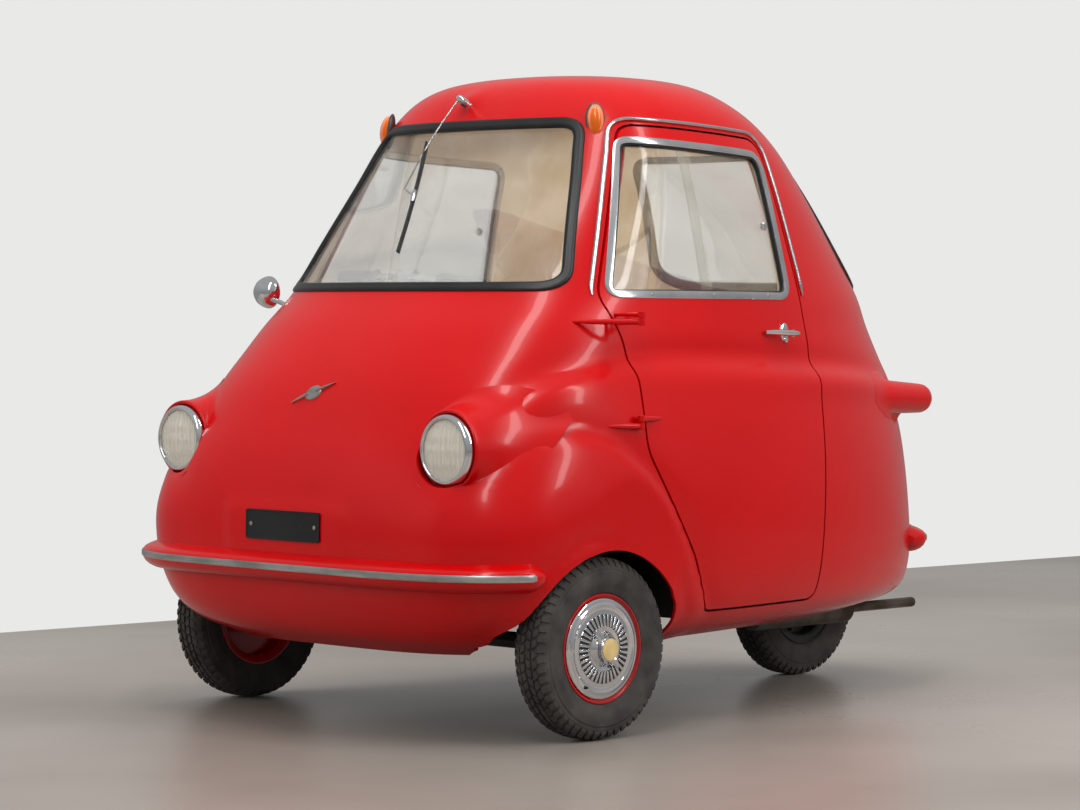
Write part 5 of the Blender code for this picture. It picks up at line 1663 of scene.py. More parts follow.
@dataclass
class Lamps:
    """Headlamps, indicators and tail lamps."""

    form: BodyForm
    work: Bodywork

    def head(self, side: Side) -> None:
        """One headlamp: chromed rim, fluted glass, plated bowl and bulb."""
        work = self.work
        seat = (side.value * work.lamp_x, work.lamp_seat_y, work.lamp_z)
        rim = (
            (0.0800, -0.0004), (0.0808, 0.002), (0.0808, 0.012), (0.0800, 0.019), (0.0778, 0.0255),
            (0.0745, 0.0300), (0.0712, 0.0315), (0.0690, 0.0305), (0.0680, 0.0275), (0.0680, 0.0200),
            (0.0700, 0.0060), (0.0720, 0.0),
        )
        ring = spun(rim, seat, Axis.Y, 96, closed=True, facing=-1)
        node = f"headlamp_{side.word}"
        piece(f"{node}_rim", ring, CHROME, replaces=(node,), crease=60.0)
        glass_radius, crown = 0.0688, 0.0095
        around, rings = 120, 22

        def spot(i: int, j: int) -> Vector:
            """A vertex of the fluted glass, front first and then back."""
            total = 2 * rings + 1
            share = j / rings if j <= rings else (total - j) / rings
            angle = math.tau * i / around
            radius = glass_radius * share
            x, z = radius * math.cos(angle), radius * math.sin(angle)
            flute = 0.0011 * math.cos(math.tau * x / 0.0090) * (1.0 - share**6)
            band = 0.0006 * math.cos(math.tau * z / 0.030) * (1.0 - share**6)
            level = 0.0235 + crown * (1.0 - share**2) + (flute + band if j <= rings else -0.0032)
            return Vector((seat[0] + x, seat[1] - level, seat[2] + z))

        piece(f"{node}_glass", sheet(around + 1, 2 * rings + 2, spot), LAMP_GLASS, crease=70.0)
        bowl = [
            (0.067, 0.022), (0.064, 0.012), (0.056, 0.002), (0.042, -0.006), (0.024, -0.010), (0.011, -0.0115)
        ]
        wall = [(radius, reach - 0.0015) for radius, reach in reversed(bowl)]
        piece(
            f"{node}_bowl", spun([*bowl, *wall], seat, Axis.Y, 64, closed=True, facing=-1), REFLECTOR,
        )
        bulb = [
            (0.0, -0.011), (0.009, -0.011), (0.009, -0.004), (0.0065, -0.001), (0.0085, 0.006),
            (0.006, 0.012), (0.0, 0.0145)
        ]
        piece(f"{node}_bulb", spun(bulb, seat, Axis.Y, 24, facing=-1), LAMP_GLASS)

    def indicator(self, side: Side) -> None:
        """One flashing indicator: a grey teardrop base and a ribbed amber lens."""
        node = f"indicator_{side.word}"
        centre = Vector((side.value * 0.352, 0.255, 1.397))
        facing = Vector((side.value * 0.78, -0.60, 0.12)).normalized()
        across = facing.cross(Vector((0.0, 0.0, 1.0))).normalized()
        up = across.cross(facing)

        def egg(wide: float, tall: float, deep: float, shift: float, ribs: float) -> bmesh.types.BMesh:
            """A half egg that bulges along the lamp's facing."""
            bm = bmesh.new()
            bmesh.ops.create_uvsphere(bm, u_segments=40, v_segments=28, radius=1.0)
            for vert in bm.verts:
                a, b, c = vert.co
                drop = 1.0 - 0.16 * (1.0 - c) / 2
                ridge = 1.0 + ribs * math.cos(c * 30.0) * max(a, 0.0)
                depth = a * deep if a > 0 else a * 0.010
                vert.co = (
                    centre + facing * (shift + depth * ridge) + across * (b * wide * drop) + up * (c * tall)
                )
            bmesh.ops.recalc_face_normals(bm, faces=bm.faces)
            return bm

        piece(
            f"{node}_base", egg(0.0255, 0.0450, 0.011, 0.001, 0.0), CAST_GREY, replaces=(node,),
        )
        piece(f"{node}_lens", egg(0.0215, 0.0385, 0.020, 0.008, 0.025), AMBER, crease=50.0)

    def tail(self, side: Side) -> None:
        """One tail lamp on the end of its pod."""
        node = f"tail_lamp_{side.word}"
        root, tip = Vector(self.work.tail_root), Vector(self.work.tail_tip)
        along = (tip - root).normalized()
        turn = Vector((0.0, 1.0, 0.0)).rotation_difference(along).to_matrix().to_4x4()
        lens = [(0.0, 0.017)]
        for k in range(1, 13):
            share = k / 12
            lens.append((0.0292 * share, 0.017 - 0.010 * share**2 + 0.0007 * math.cos(share * 28.0)))
        lens += [(0.0305, 0.004), (0.0305, 0.0005), (0.0, 0.0005)]
        ring = [(0.0305, 0.0003), (0.0345, 0.0003), (0.0345, 0.0035), (0.0325, 0.0055), (0.0305, 0.0055)]
        place = Matrix.Translation(tip + along * 0.0003) @ turn
        for word, profile, finish, slot, loop in (
            ("lens", lens, LAMP_RED, "lamp_red", False), ("ring", ring, CHROME, "chrome", True),
        ):
            bm = spun(profile, ORIGIN, Axis.Y, 48, closed=loop)
            bmesh.ops.transform(bm, matrix=place, verts=bm.verts)
            if side is Side.RIGHT:
                bmesh.ops.scale(bm, vec=(-1.0, 1.0, 1.0), verts=bm.verts)
                bmesh.ops.recalc_face_normals(bm, faces=bm.faces)
            piece(f"{node}_{word}", bm, finish, replaces=(node,) if word == "lens" else ())

    def build(self) -> None:
        """Make every lamp."""
        for side in Side:
            self.head(side)
            self.indicator(side)
            self.tail(side)


@dataclass
class Wheel:
    """One road wheel, laid out about its hub with its outer face towards +X."""

    name: str
    tyre_node: str
    rim_node: str
    side: Side
    capped: bool = True
    radius: float = 0.205
    half_width: float = 0.048
    bead: float = 0.1238

    def hub(self) -> Vector:
        """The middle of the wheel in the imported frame, laid out from the front axle."""
        low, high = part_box(self.tyre_node)
        return (low + high) / 2 - Vector((0.0, AXLE_Y, 0.0))

    def carcass(self) -> bmesh.types.BMesh:
        """The tyre's body: tread base, ribbed shoulders, walls and beads."""
        w = self.half_width
        wall = [
            (self.bead, 0.0300), (self.bead + 0.0002, 0.0380), (0.1262, 0.0392), (0.1268, 0.0400),
            (0.1300, 0.0405),
            (0.1320, 0.0418), (0.1340, 0.0420), (0.1420, 0.0450), (0.1500, 0.0472), (0.1600, w),
            (0.1680, 0.0478), (0.1720, 0.0480), (0.1735, 0.0466), (0.1775, 0.0458), (0.1790, 0.0464),
            (0.1830, 0.0452), (0.1890, 0.0420), (0.1945, 0.0375), (0.1982, 0.0310), (0.2000, 0.0200),
            (0.2004, 0.0080),
        ]
        profile = wall + [(radius, -reach) for radius, reach in reversed(wall)]
        return spun(profile, ORIGIN, Axis.X, 120, closed=True)

    def tread(self) -> bmesh.types.BMesh:
        """Rows of blocks round the tread. Columns: blocks, middle, half width, length share, skew, drop."""
        rows = (
            (54, 0.0392, 0.0058, 0.62, 0.10, 0.0085), (54, 0.0255, 0.0062, 0.70, 0.34, 0.0016),
            (60, 0.0088, 0.0058, 0.74, -0.30, 0.0), (60, -0.0088, 0.0058, 0.74, 0.30, 0.0),
            (54, -0.0255, 0.0062, 0.70, -0.34, 0.0016), (54, -0.0392, 0.0058, 0.62, -0.10, 0.0085),
        )
        whole = bmesh.new()
        for number, (count, middle, half, share, skew, drop) in enumerate(rows):
            pitch = math.tau * self.radius / count
            shape = bmesh.new()
            bmesh.ops.create_cube(shape, size=1.0)
            top = self.radius - drop - 0.0002
            lean = 0.0062 if abs(middle) > 0.03 else 0.0014
            for vert in shape.verts:
                across, along, up = vert.co
                edge = across * 2 * half
                slope = -lean * (1 if middle > 0 else -1) * across * 2 if abs(middle) > 0.01 else 0.0
                height = top + slope if up > 0 else top - 0.0085 + slope
                vert.co = (middle + edge, (along * share + across * skew) * pitch, height)
            top_edges = [e for e in shape.edges if all(v.co.z > top - 0.0075 for v in e.verts)]
            bmesh.ops.bevel(
                shape, geom=top_edges, offset=0.0009, segments=1, profile=0.5, affect="EDGES", material=-1
            )
            start = Matrix.Rotation(math.pi / count * (number % 2), 4, "X")
            bmesh.ops.transform(shape, matrix=start, verts=shape.verts)
            repeated_round(shape, count)
            whole = joined(whole, shape)
        return whole

    def rim(self) -> bmesh.types.BMesh:
        """The red pressed rim, from its outer lip to its hub."""
        profile = (
            (0.030, -0.030), (0.030, 0.003), (0.0960, 0.002), (0.1005, 0.028), (0.1060, 0.0325),
            (0.1130, 0.0345), (0.1180, 0.0352), (0.1215, 0.0372), (0.1228, 0.0395), (0.1222, 0.0402),
            (0.1195, 0.0400), (0.1228, 0.0380), (0.1235, 0.0360), (0.1055, 0.0310), (0.1055, -0.0300),
            (0.1232, -0.0360), (0.1232, -0.0398), (0.1190, -0.0400), (0.1010, -0.0300), (0.0990, -0.006),
            (0.034, -0.006),
        )
        return spun(profile, ORIGIN, Axis.X, 96, closed=True)

    def cap(self) -> bmesh.types.BMesh:
        """The chromed cap: a rolled edge, a dished band and the boss of the spinner."""
        profile = (
            (0.1125, 0.0355), (0.1130, 0.0372), (0.1118, 0.0388), (0.1085, 0.0398), (0.1040, 0.0402),
            (0.1015, 0.0416), (0.0985, 0.0436), (0.0965, 0.0437), (0.0940, 0.0420), (0.0900, 0.0408),
            (0.0860, 0.0412),
        )
        inner = (
            (0.0500, 0.0440), (0.0460, 0.0432), (0.0425, 0.0410), (0.0400, 0.0418), (0.0375, 0.0455),
            (0.0330, 0.0490), (0.0300, 0.0540), (0.0290, 0.0610), (0.0, 0.0612),
        )
        back = ((0.0, 0.034), (0.090, 0.032))
        return spun([*profile, (0.0680, 0.0436), *inner, *back], ORIGIN, Axis.X, 144, closed=False)

    def louvres(self) -> bmesh.types.BMesh:
        """Thirty-six raised louvres round the cap; the dark slot between each two is painted shade, laid on
        by a separate black band.
        """
        count = 36
        fin = bmesh.new()
        bmesh.ops.create_cube(fin, size=1.0)
        for vert in fin.verts:
            out, along, up = vert.co
            radius = 0.0505 if up < 0 else 0.0780
            width = (0.0062 if up < 0 else 0.0098) * along
            base = 0.0415 + (0.0460 - 0.0430) * (0.085 - radius) / 0.032
            vert.co = (
                base + (0.0034 if out > 0 else -0.002) * (1.0 if up < 0 else 0.75),
                width * (0.72 if out > 0 else 1.0), radius
            )
        edges = [e for e in fin.edges if all(v.co.x > 0.042 for v in e.verts)]
        bmesh.ops.bevel(
            fin, geom=edges, offset=0.0012, segments=3, profile=0.5, affect="EDGES", material=-1,
            clamp_overlap=True,
        )
        repeated_round(fin, count)
        return fin

    def slots(self) -> bmesh.types.BMesh:
        """A black band that shows between the louvres: painted shade standing for the dark of the slots."""
        band = [(0.0505, 0.0432), (0.0505, 0.0447), (0.0775, 0.0430), (0.0775, 0.0416)]
        return spun(band, ORIGIN, Axis.X, 72, closed=True)

    def spinner(self) -> bmesh.types.BMesh:
        """The two-eared spinner."""
        blade = bmesh.new()
        bmesh.ops.create_uvsphere(blade, u_segments=32, v_segments=16, radius=1.0)
        for vert in blade.verts:
            a, b, c = vert.co
            spread = 1.0 - 0.45 * abs(b)
            vert.co = (0.0535 + 0.0080 * a * (1.0 - 0.35 * abs(b)), 0.0580 * b, 0.0190 * c * spread)
        bmesh.ops.recalc_face_normals(blade, faces=blade.faces)
        return blade

    def place(self, bm: bmesh.types.BMesh, turn: float = 0.0) -> bmesh.types.BMesh:
        """Carry a mesh from the wheel's own frame to its hub, outer face outwards."""
        face = Matrix.Rotation(math.pi, 4, "Z") if self.side is Side.RIGHT else Matrix.Identity(4)
        spin = Matrix.Rotation(math.radians(turn), 4, "X")
        bmesh.ops.transform(bm, matrix=Matrix.Translation(self.hub()) @ face @ spin, verts=bm.verts)
        return bm

    def build(self, body: str) -> None:
        """Make the wheel.

        Args:
            body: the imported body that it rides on.
        """
        tyre = self.place(joined(self.carcass(), self.tread()))
        piece(f"{self.name}_tyre", tyre, TYRE_RUBBER, body, (self.tyre_node,), crease=40.0)
        paint, slot = (WHEEL_RED, "rim_red") if self.capped else (CHASSIS_BLACK, "black_paint")
        piece(f"{self.name}_rim", self.place(self.rim()), paint, body, (self.rim_node,), crease=40.0)
        valve = bar(
            [(0.0360, 0.0, -0.1000), (0.0440, 0.0, -0.1000), (0.0490, 0.0, -0.1000)],
            (0.0040, 0.0034, 0.0026), 12
        )
        piece(f"{self.name}_valve", self.place(valve, -35.0), SEAL_RUBBER, body)
        if not self.capped:
            profile = (
                (0.0, 0.040), (0.011, 0.040), (0.013, 0.038), (0.013, 0.030), (0.030, 0.030),
                (0.0305, 0.012), (0.034, 0.004),
            )
            nut = spun(profile, ORIGIN, Axis.X, 48)
            piece(f"{self.name}_hub_cap", self.place(nut), CHASSIS_BLACK, body)
            return
        piece(f"{self.name}_cap", self.place(self.cap()), CHROME, body, crease=50.0)
        piece(f"{self.name}_louvres", self.place(self.louvres()), CHROME, body, crease=40.0)
        # The black band is painted shade between the louvres, where the slots would be dark.
        piece(f"{self.name}_slots", self.place(self.slots()), CHASSIS_BLACK, body)
        piece(
            f"{self.name}_spinner", self.place(self.spinner(), 130.0), CHROME, body,
            crease=60.0
        )
        disc = [
            (0.0, 0.0660), (0.0200, 0.0657), (0.0243, 0.0648), (0.0250, 0.0630), (0.0250, 0.0600),
            (0.0, 0.0590)
        ]
        medallion = self.place(spun(disc, ORIGIN, Axis.X, 48))
        piece(f"{self.name}_medallion", medallion, CREAM_ENAMEL, body)
        bezel = [(0.0252, 0.056), (0.0285, 0.0575), (0.0288, 0.0630), (0.0272, 0.0652), (0.0250, 0.0640)]
        ring = spun(bezel, ORIGIN, Axis.X, 48, closed=True)
        piece(f"{self.name}_medallion_ring", self.place(ring), CHROME, body)


@dataclass
class Fittings:
    """Handle, mirror, wiper, plates and the ornament on the nose."""

    form: BodyForm

    def handle(self) -> None:
        """The door's lever handle on its oval plate, with a lock under it."""
        y, z = 0.700, 0.905
        root = self.form.on_side(y, z)
        plate = [
            (0.0, -0.004), (0.0175, -0.004), (0.0180, 0.0), (0.0170, 0.0030), (0.0130, 0.0048), (0.0, 0.0052)
        ]
        oval = spun(plate, root, Axis.X, 48)
        bmesh.ops.scale(oval, vec=(1.0, 0.82, 1.35), verts=oval.verts, space=Matrix.Translation(-root))
        stem = bar(
            [root, root + Vector((0.016, 0, 0)), root + Vector((0.030, 0, 0))], (0.0090, 0.0070, 0.0090), 24
        )
        line = smooth_line([
            root + Vector((0.0300, 0.0180, -0.0005)), root + Vector((0.0320, 0.0, 0.0)),
            root + Vector((0.0300, -0.030, 0.0010)), root + Vector((0.0240, -0.062, 0.0020)),
            root + Vector((0.0190, -0.088, 0.0020)),
        ], 6)
        shares = [min(1.0, (k + 2) / (len(line) + 6)) for k in range(len(line))]
        radii = [0.0040 + 0.0062 * math.sin(math.pi * share**0.8) for share in shares]
        lever = bar(line, radii, 20, 0.72)
        lock = spun([(0.0, 0.0), (0.0065, 0.0), (0.0065, 0.0065), (0.0050, 0.0080), (0.0, 0.0080)],
                    root + Vector((0.002, 0.0, -0.0165)), Axis.X, 24)
        whole = joined(oval, stem, lever, lock)
        piece("handle_lever", whole, CHROME, "door", ("door_handle",), crease=50.0)

    def mirror(self) -> None:
        """The round mirror on its stalk."""
        head = Vector((-0.580, 0.040, 1.000))
        foot_z = 0.960
        foot = Vector((-self.form.side_x(0.040, foot_z), 0.040, foot_z))
        shell = [
            (0.0, -0.0240), (0.0120, -0.0225), (0.0230, -0.0175), (0.0320, -0.0080), (0.0375, 0.0030),
            (0.0400, 0.0120), (0.0400, 0.0160), (0.0385, 0.0175), (0.0370, 0.0160), (0.0, 0.0150),
        ]
        back = spun(shell, head, Axis.Y, 64)
        line = smooth_line(
            [foot, foot + Vector((-0.012, 0.0, 0.012)), head + Vector((0.008, 0.0, -0.012)), head], 6
        )
        stalk = bar(line, [0.0058] * len(line), 16)
        base = bar(
            [foot + Vector((0.010, 0, 0)), foot, foot + Vector((-0.006, 0, 0.003))], (0.015, 0.0145, 0.009),
            32
        )
        piece(
            "mirror_head", joined(back, stalk, base), CHROME, replaces=("mirror",), crease=50.0
        )
        glass = spun([(0.0, 0.0158), (0.0362, 0.0158), (0.0362, 0.0150), (0.0, 0.0150)], head, Axis.Y, 64)
        piece("mirror_glass", glass, REFLECTOR)

    def wiper(self) -> None:
        """The single wiper: boss, cranked arm, spine and rubber blade."""
        pivot = Vector((-0.014, 0.196, 1.444))
        elbow = Vector((-0.079, 0.050, 1.246))
        top, foot = Vector((-0.063, 0.110, 1.358)), Vector((0.040, -0.078, 1.093))
        stub = [(0.020, -0.013), (0.0, 0.0), (-0.016, 0.010), (-0.030, 0.019), (-0.034, 0.0215)]
        boss = bar([pivot + Vector((0, y, z)) for y, z in stub], (0.013, 0.013, 0.0105, 0.0085, 0.0050), 24)
        knee = pivot + Vector((-0.004, -0.027, 0.017))
        crank = smooth_line([knee, knee.lerp(elbow, 0.5) + Vector((0, -0.006, 0.004)), elbow], 8)
        arm = bar(crank, [0.0030] * len(crank), 12, 0.7)
        mid = (top + foot) / 2
        link = bar(
            [elbow, elbow.lerp(mid, 0.5) + Vector((0, -0.003, 0.002)), mid], (0.0032, 0.0028, 0.0034), 12
        )
        clasp = bar(
            [mid + (top - foot) * 0.05, mid, mid - (top - foot) * 0.05], (0.0048, 0.0066, 0.0048), 12, 0.8
        )
        chrome = joined(boss, arm, link, clasp)
        piece("wiper_arm", chrome, CHROME, replaces=("wiper",), crease=50.0)
        steps = 24
        sag = [0.0045 * math.cos(math.pi * (k / steps - 0.5)) - 0.0045 for k in range(steps + 1)]
        line = [top.lerp(foot, k / steps) + Vector((0.0, y, 0.0)) for k, y in enumerate(sag)]
        spine = bar(line, [0.0028] * len(line), 10, 0.8)
        under = [spot + Vector((0.0, 0.0052, -0.0032)) for spot in line]
        rubber = bar(under, [0.0034] * len(line), 8, 0.75)
        piece("wiper_blade", joined(spine, rubber), SEAL_RUBBER, crease=50.0)

    def plates(self) -> None:
        """Bare number plates at the nose and the tail, each with a rolled edge and two screws."""
        for word, x_half, low, high, rear in (
            ("front", 0.128, 0.4330, 0.5010, False), ("rear", 0.145, 0.520, 0.640, True)
        ):
            middle = (low + high) / 2
            y_low, y_mid, y_high = (self.form.end_y(0.0, z, rear=rear) for z in (low, middle, high))
            way = 1.0 if rear else -1.0
            lift = 0.0075
            lean = (y_high - y_low) / (high - low)
            corners = [
                (-x_half, low, 0.008), (x_half, low, 0.008), (x_half, high, 0.008), (-x_half, high, 0.008)
            ]
            y_in, y_out = sorted((y_mid + way * (lift - 0.004), y_mid + way * (lift + 0.0005)))
            plate = slab(rounded(corners, 4), Axis.Y, y_in, y_out)
            faces = [f for f in plate.faces if f.normal.y * way > 0.9]
            bmesh.ops.inset_region(plate, faces=faces, thickness=0.0042, depth=0.0, use_even_offset=True)
            bmesh.ops.inset_region(plate, faces=faces, thickness=0.0010, depth=-0.0012, use_even_offset=True)
            heads = []
            for x in (-x_half + 0.018, x_half - 0.018):
                dome = [(0.0, 0.0026), (0.0030, 0.0022), (0.0048, 0.0008), (0.0050, -0.001), (0.0, -0.001)]
                place = (x, y_mid + way * (lift - 0.0006), middle)
                heads.append(spun(dome, place, Axis.Y, 20, facing=int(way)))
            for bm in (plate, *heads):
                for vert in bm.verts:
                    vert.co.y += (vert.co.z - middle) * lean
            piece(f"plate_{word}", plate, PLATE_BLACK)
            if rear:
                behind = [(-x_half - 0.006, low - 0.006, 0.014), (x_half + 0.006, low - 0.006, 0.014)]
                behind += [(x_half + 0.006, high + 0.006, 0.014), (-x_half - 0.006, high + 0.006, 0.014)]
                plinth = slab(rounded(behind, 6), Axis.Y, y_mid - 0.040, y_mid + lift - 0.0042)
                plinth = rounded_off(plinth, 0.003)
                for vert in plinth.verts:
                    vert.co.y += (vert.co.z - middle) * lean
                piece("plate_rear_plinth", plinth, BODY_RED)
            piece(f"plate_{word}_screws", joined(*heads), DULL_ALUMINIUM)

    def ornament(self) -> None:
        """A plain cast oval with two tapering bars, where the nose carries its ornament."""
        z = 0.767
        y = self.form.end_y(0.0, z)
        lean = math.atan2(self.form.end_y(0.0, z + 0.02) - self.form.end_y(0.0, z - 0.02), 0.04)
        oval = spun([(0.0, 0.0052), (0.016, 0.0046), (0.0205, 0.0034), (0.0220, 0.0012), (0.0220, -0.004)],
                    ORIGIN, Axis.Y, 48, facing=-1)
        bmesh.ops.scale(oval, vec=(1.15, 1.0, 0.80), verts=oval.verts)
        arms = []
        for way in (1, -1):
            line = [(way * (0.012 + 0.011 * k), -0.0012, way * 0.0012 * k) for k in range(6)]
            arms.append(bar(line, (0.0088, 0.0080, 0.0068, 0.0054, 0.0038, 0.0020), 16, 0.40))
        whole = joined(oval, *arms)
        leant = Matrix.Translation((0.0, y - 0.0008, z)) @ Matrix.Rotation(-lean, 4, "X")
        place = leant @ Matrix.Rotation(math.radians(-19), 4, "Y")
        bmesh.ops.transform(whole, matrix=place, verts=whole.verts)
        piece("nose_ornament", whole, DULL_ALUMINIUM, crease=50.0)

    def build(self) -> None:
        """Make the fittings."""
        self.handle()
        self.mirror()
        self.wiper()
        self.plates()
        self.ornament()


# Cabin and running gear


def dress_nodes(finish: Finish, *nodes: str) -> None:
    """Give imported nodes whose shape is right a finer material.

    Args:
        finish: the finish.
        nodes: their names.
    """
    for node in nodes:
        item = bpy.data.objects[node]
        for place in item.material_slots:
            place.material = finish.build()
        log.info("%s: dressed in %s", node, finish.name)


@dataclass
class Pad:
    """One stuffed seat pad, blown up as cloth from its solid."""

    name: str
    node: str
    channels: tuple[float, ...]
    inset: float = 0.012
    voxel: float = 0.008
    swell: float = 0.024
    pressure: float = 4.0
    # A sewn channel's half width and depth
    channel: Point2 = (0.007, 0.0065)

    def blank(self) -> bpy.types.Object:
        """The solid's shape, drawn in a little and remeshed evenly."""
        bm = bmesh.new()
        bm.from_mesh(bpy.data.objects[self.node].data)
        bmesh.ops.remove_doubles(bm, verts=bm.verts, dist=0.0001)
        low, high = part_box(self.node)
        centre, half = (low + high) / 2, (high - low) / 2
        for vert in bm.verts:
            off = vert.co - centre
            vert.co = centre + Vector(off[k] * (1.0 - self.inset / half[k]) for k in range(3))
        bmesh.ops.translate(bm, vec=(0.0, -AXLE_Y, 0.0), verts=bm.verts)
        item = linked(self.name, as_mesh(bm, self.name))
        remesh = item.modifiers.new("even", "REMESH")
        remesh.mode = "VOXEL"
        remesh.voxel_size = self.voxel
        return baked(item)

    def blown(self, item: bpy.types.Object) -> bpy.types.Object:
        """Blow the pad up as cloth, and cap how far each point may move."""
        before = np.array([vert.co for vert in item.data.vertices])
        cloth = item.modifiers.new("cloth", "CLOTH")
        cloth.settings.use_pressure = True
        cloth.settings.uniform_pressure_force = self.pressure
        cloth.settings.effector_weights.gravity = 0.0
        for frame in range(1, 21):
            bpy.context.scene.frame_set(frame)
        item = baked(item)
        bpy.context.scene.frame_set(1)
        moved = np.array([vert.co for vert in item.data.vertices]) - before
        length = np.linalg.norm(moved, axis=1, keepdims=True)
        moved *= np.minimum(1.0, self.swell / np.maximum(length, 1e-9))
        item.data.vertices.foreach_set("co", (before + moved).ravel())
        return item

    def build(self) -> None:
        """Make the pad and press its sewn channels."""
        item = self.blank()
        item = self.blown(item)
        low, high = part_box(self.node)
        shift = Vector((0.0, -AXLE_Y, 0.0))
        centre = (low + high) / 2 + shift
        width, depth = self.channel
        for vert in item.data.vertices:
            near = max(math.exp(-(((vert.co.x - x) / width) ** 2)) for x in self.channels)
            vert.co += (centre - vert.co).normalized() * (depth * near)
        item.modifiers.new("soften", "SUBSURF").levels = 1
        item.modifiers["soften"].render_levels = 1
        item = baked(item)
        pad = piece(self.name, item, LEATHERCLOTH, replaces=(self.node,), crease=80.0)


@dataclass
class Cabin:
    """Everything seen through the windows and through the open door."""

    form: BodyForm
    column_x: float = -0.220
    column_head: Point2 = (0.340, 0.830)
    column_foot: Point2 = (0.060, 0.300)
    bar_half: float = 0.190

    def handlebar(self) -> None:
        """Ribbed grips with flanges, a clamp, and the two levers of the bar."""
        head = Vector((self.column_x, *self.column_head))
        along = (head - Vector((self.column_x, *self.column_foot))).normalized()
        top = head + along * 0.060
        for side in Side:
            end = self.column_x + side.value * (self.bar_half + 0.002)
            ribs = [(0.0, 0.0), (0.0168, 0.0), (0.0200, 0.0030), (0.0200, 0.0080)]
            for k in range(15):
                start = 0.0100 + 0.0056 * k
                ribs += [
                    (0.0172, start), (0.0190, start + 0.0014), (0.0190, start + 0.0036),
                    (0.0172, start + 0.0050)
                ]
            ribs += [(0.0245, 0.0950), (0.0245, 0.0985), (0.0, 0.0985)]
            grip = spun(ribs, (end, top.y, top.z), Axis.X, 32, facing=-side.value)
            piece(f"handlebar_grip_{side.word}", grip, GRIP_PLASTIC, "handlebar")
            start = Vector((self.column_x + side.value * 0.060, top.y, top.z))
            reach = [start + along * -0.012, start + Vector((side.value * 0.030, -0.022, -0.016)),
                     start + Vector((side.value * 0.110, -0.030, -0.018))]
            lever = bar(smooth_line(reach, 6), [0.0045] * 13, 12, 0.6)
            piece(f"handlebar_lever_{side.word}", lever, CHROME, "handlebar")
        profile = [
            (0.0, -0.022), (0.024, -0.022), (0.0265, -0.019), (0.0265, 0.019), (0.024, 0.022), (0.0, 0.022),
        ]
        clamp = spun(profile, top, Axis.X, 40)
        piece("handlebar_clamp", clamp, BRIGHT_ALUMINIUM, "handlebar")
        dress_nodes(CHROME, "handlebar")
        dress_nodes(CHASSIS_BLACK, "steering_column")

    def instrument(self) -> None:
        """A round speedometer on a bracket ahead of the handlebar, its dial left bare."""
        centre = Vector((self.column_x, 0.245, 0.868))
        cup = [
            (0.0, -0.030), (0.034, -0.028), (0.0430, -0.018), (0.0430, 0.008), (0.0400, 0.008),
            (0.0400, 0.002), (0.0, 0.002)
        ]
        tilt = Matrix.Translation(centre) @ Matrix.Rotation(math.radians(-28.0), 4, "X")
        rim = [
            (0.0398, 0.006), (0.0440, 0.006), (0.0448, 0.009), (0.0430, 0.0125), (0.0405, 0.012),
            (0.0398, 0.009)
        ]
        lens = [(0.0, 0.0085), (0.0395, 0.0085), (0.0395, 0.0070), (0.0, 0.0070)]
        dial = [(0.0, 0.0040), (0.0390, 0.0040), (0.0390, 0.0030), (0.0, 0.0030)]
        for word, profile, finish, slot, loop in (
            ("case", cup, CHASSIS_BLACK, "black_paint", False), ("rim", rim, CHROME, "chrome", True),
            ("lens", lens, CLEAR_GLASS, "clear", False), ("dial", dial, CREAM_ENAMEL, "", False),
        ):
            shape = spun(profile, ORIGIN, Axis.Y, 64, closed=loop)
            bmesh.ops.transform(shape, matrix=tilt, verts=shape.verts)
            piece(f"speedometer_{word}", shape, finish)
        stay = bar([centre + Vector((0.0, -0.026, -0.012)), centre + Vector((0.0, -0.050, -0.045)),
                    centre + Vector((0.0, -0.040, -0.130))], (0.008, 0.007, 0.007), 12)
        piece("speedometer_stay", stay, CHASSIS_BLACK)

    def door_lining(self) -> None:
        """The door's painted return, its trim board with a pull, and the painted jamb round the opening."""
        door = Opening(self.form, Face.LEFT, DOOR_CORNERS)
        edge = [
            (-0.0010, -0.0055), (-0.0010, -0.0260), (-0.0200, -0.0275), (-0.0200, -0.0255),
            (-0.0035, -0.0240), (-0.0035, -0.0055)
        ]
        piece("door_return", door.moulding(edge), BODY_RED, "door", crease=60.0)
        board = linked("board", as_mesh(door.pane(-0.016, 0.0285, 0.0035), "board"))
        window = Opening(self.form, Face.LEFT, WINDOW_CORNERS).cutter(-0.001)
        carve(board, window)
        piece("door_trim_board", board, TRIM_BOARD, "door")
        seat = [
            (-0.003, -0.0330), (0.016, -0.0330), (0.016, -0.0060), (0.0185, -0.0060), (0.0185, -0.0355),
            (-0.003, -0.0355)
        ]
        piece("door_jamb", door.moulding(seat, 0.0), BODY_RED, crease=60.0)
        x = self.form.side_x(0.66, 0.88) - 0.034
        reach = [(0.0, 0.60), (0.020, 0.605), (0.024, 0.650), (0.024, 0.70), (0.020, 0.745), (0.0, 0.75)]
        line = [(x - inward, y, 0.880) for inward, y in reach]
        piece("door_pull", bar(smooth_line(line, 5), [0.0065] * 26, 14), CHROME, "door")

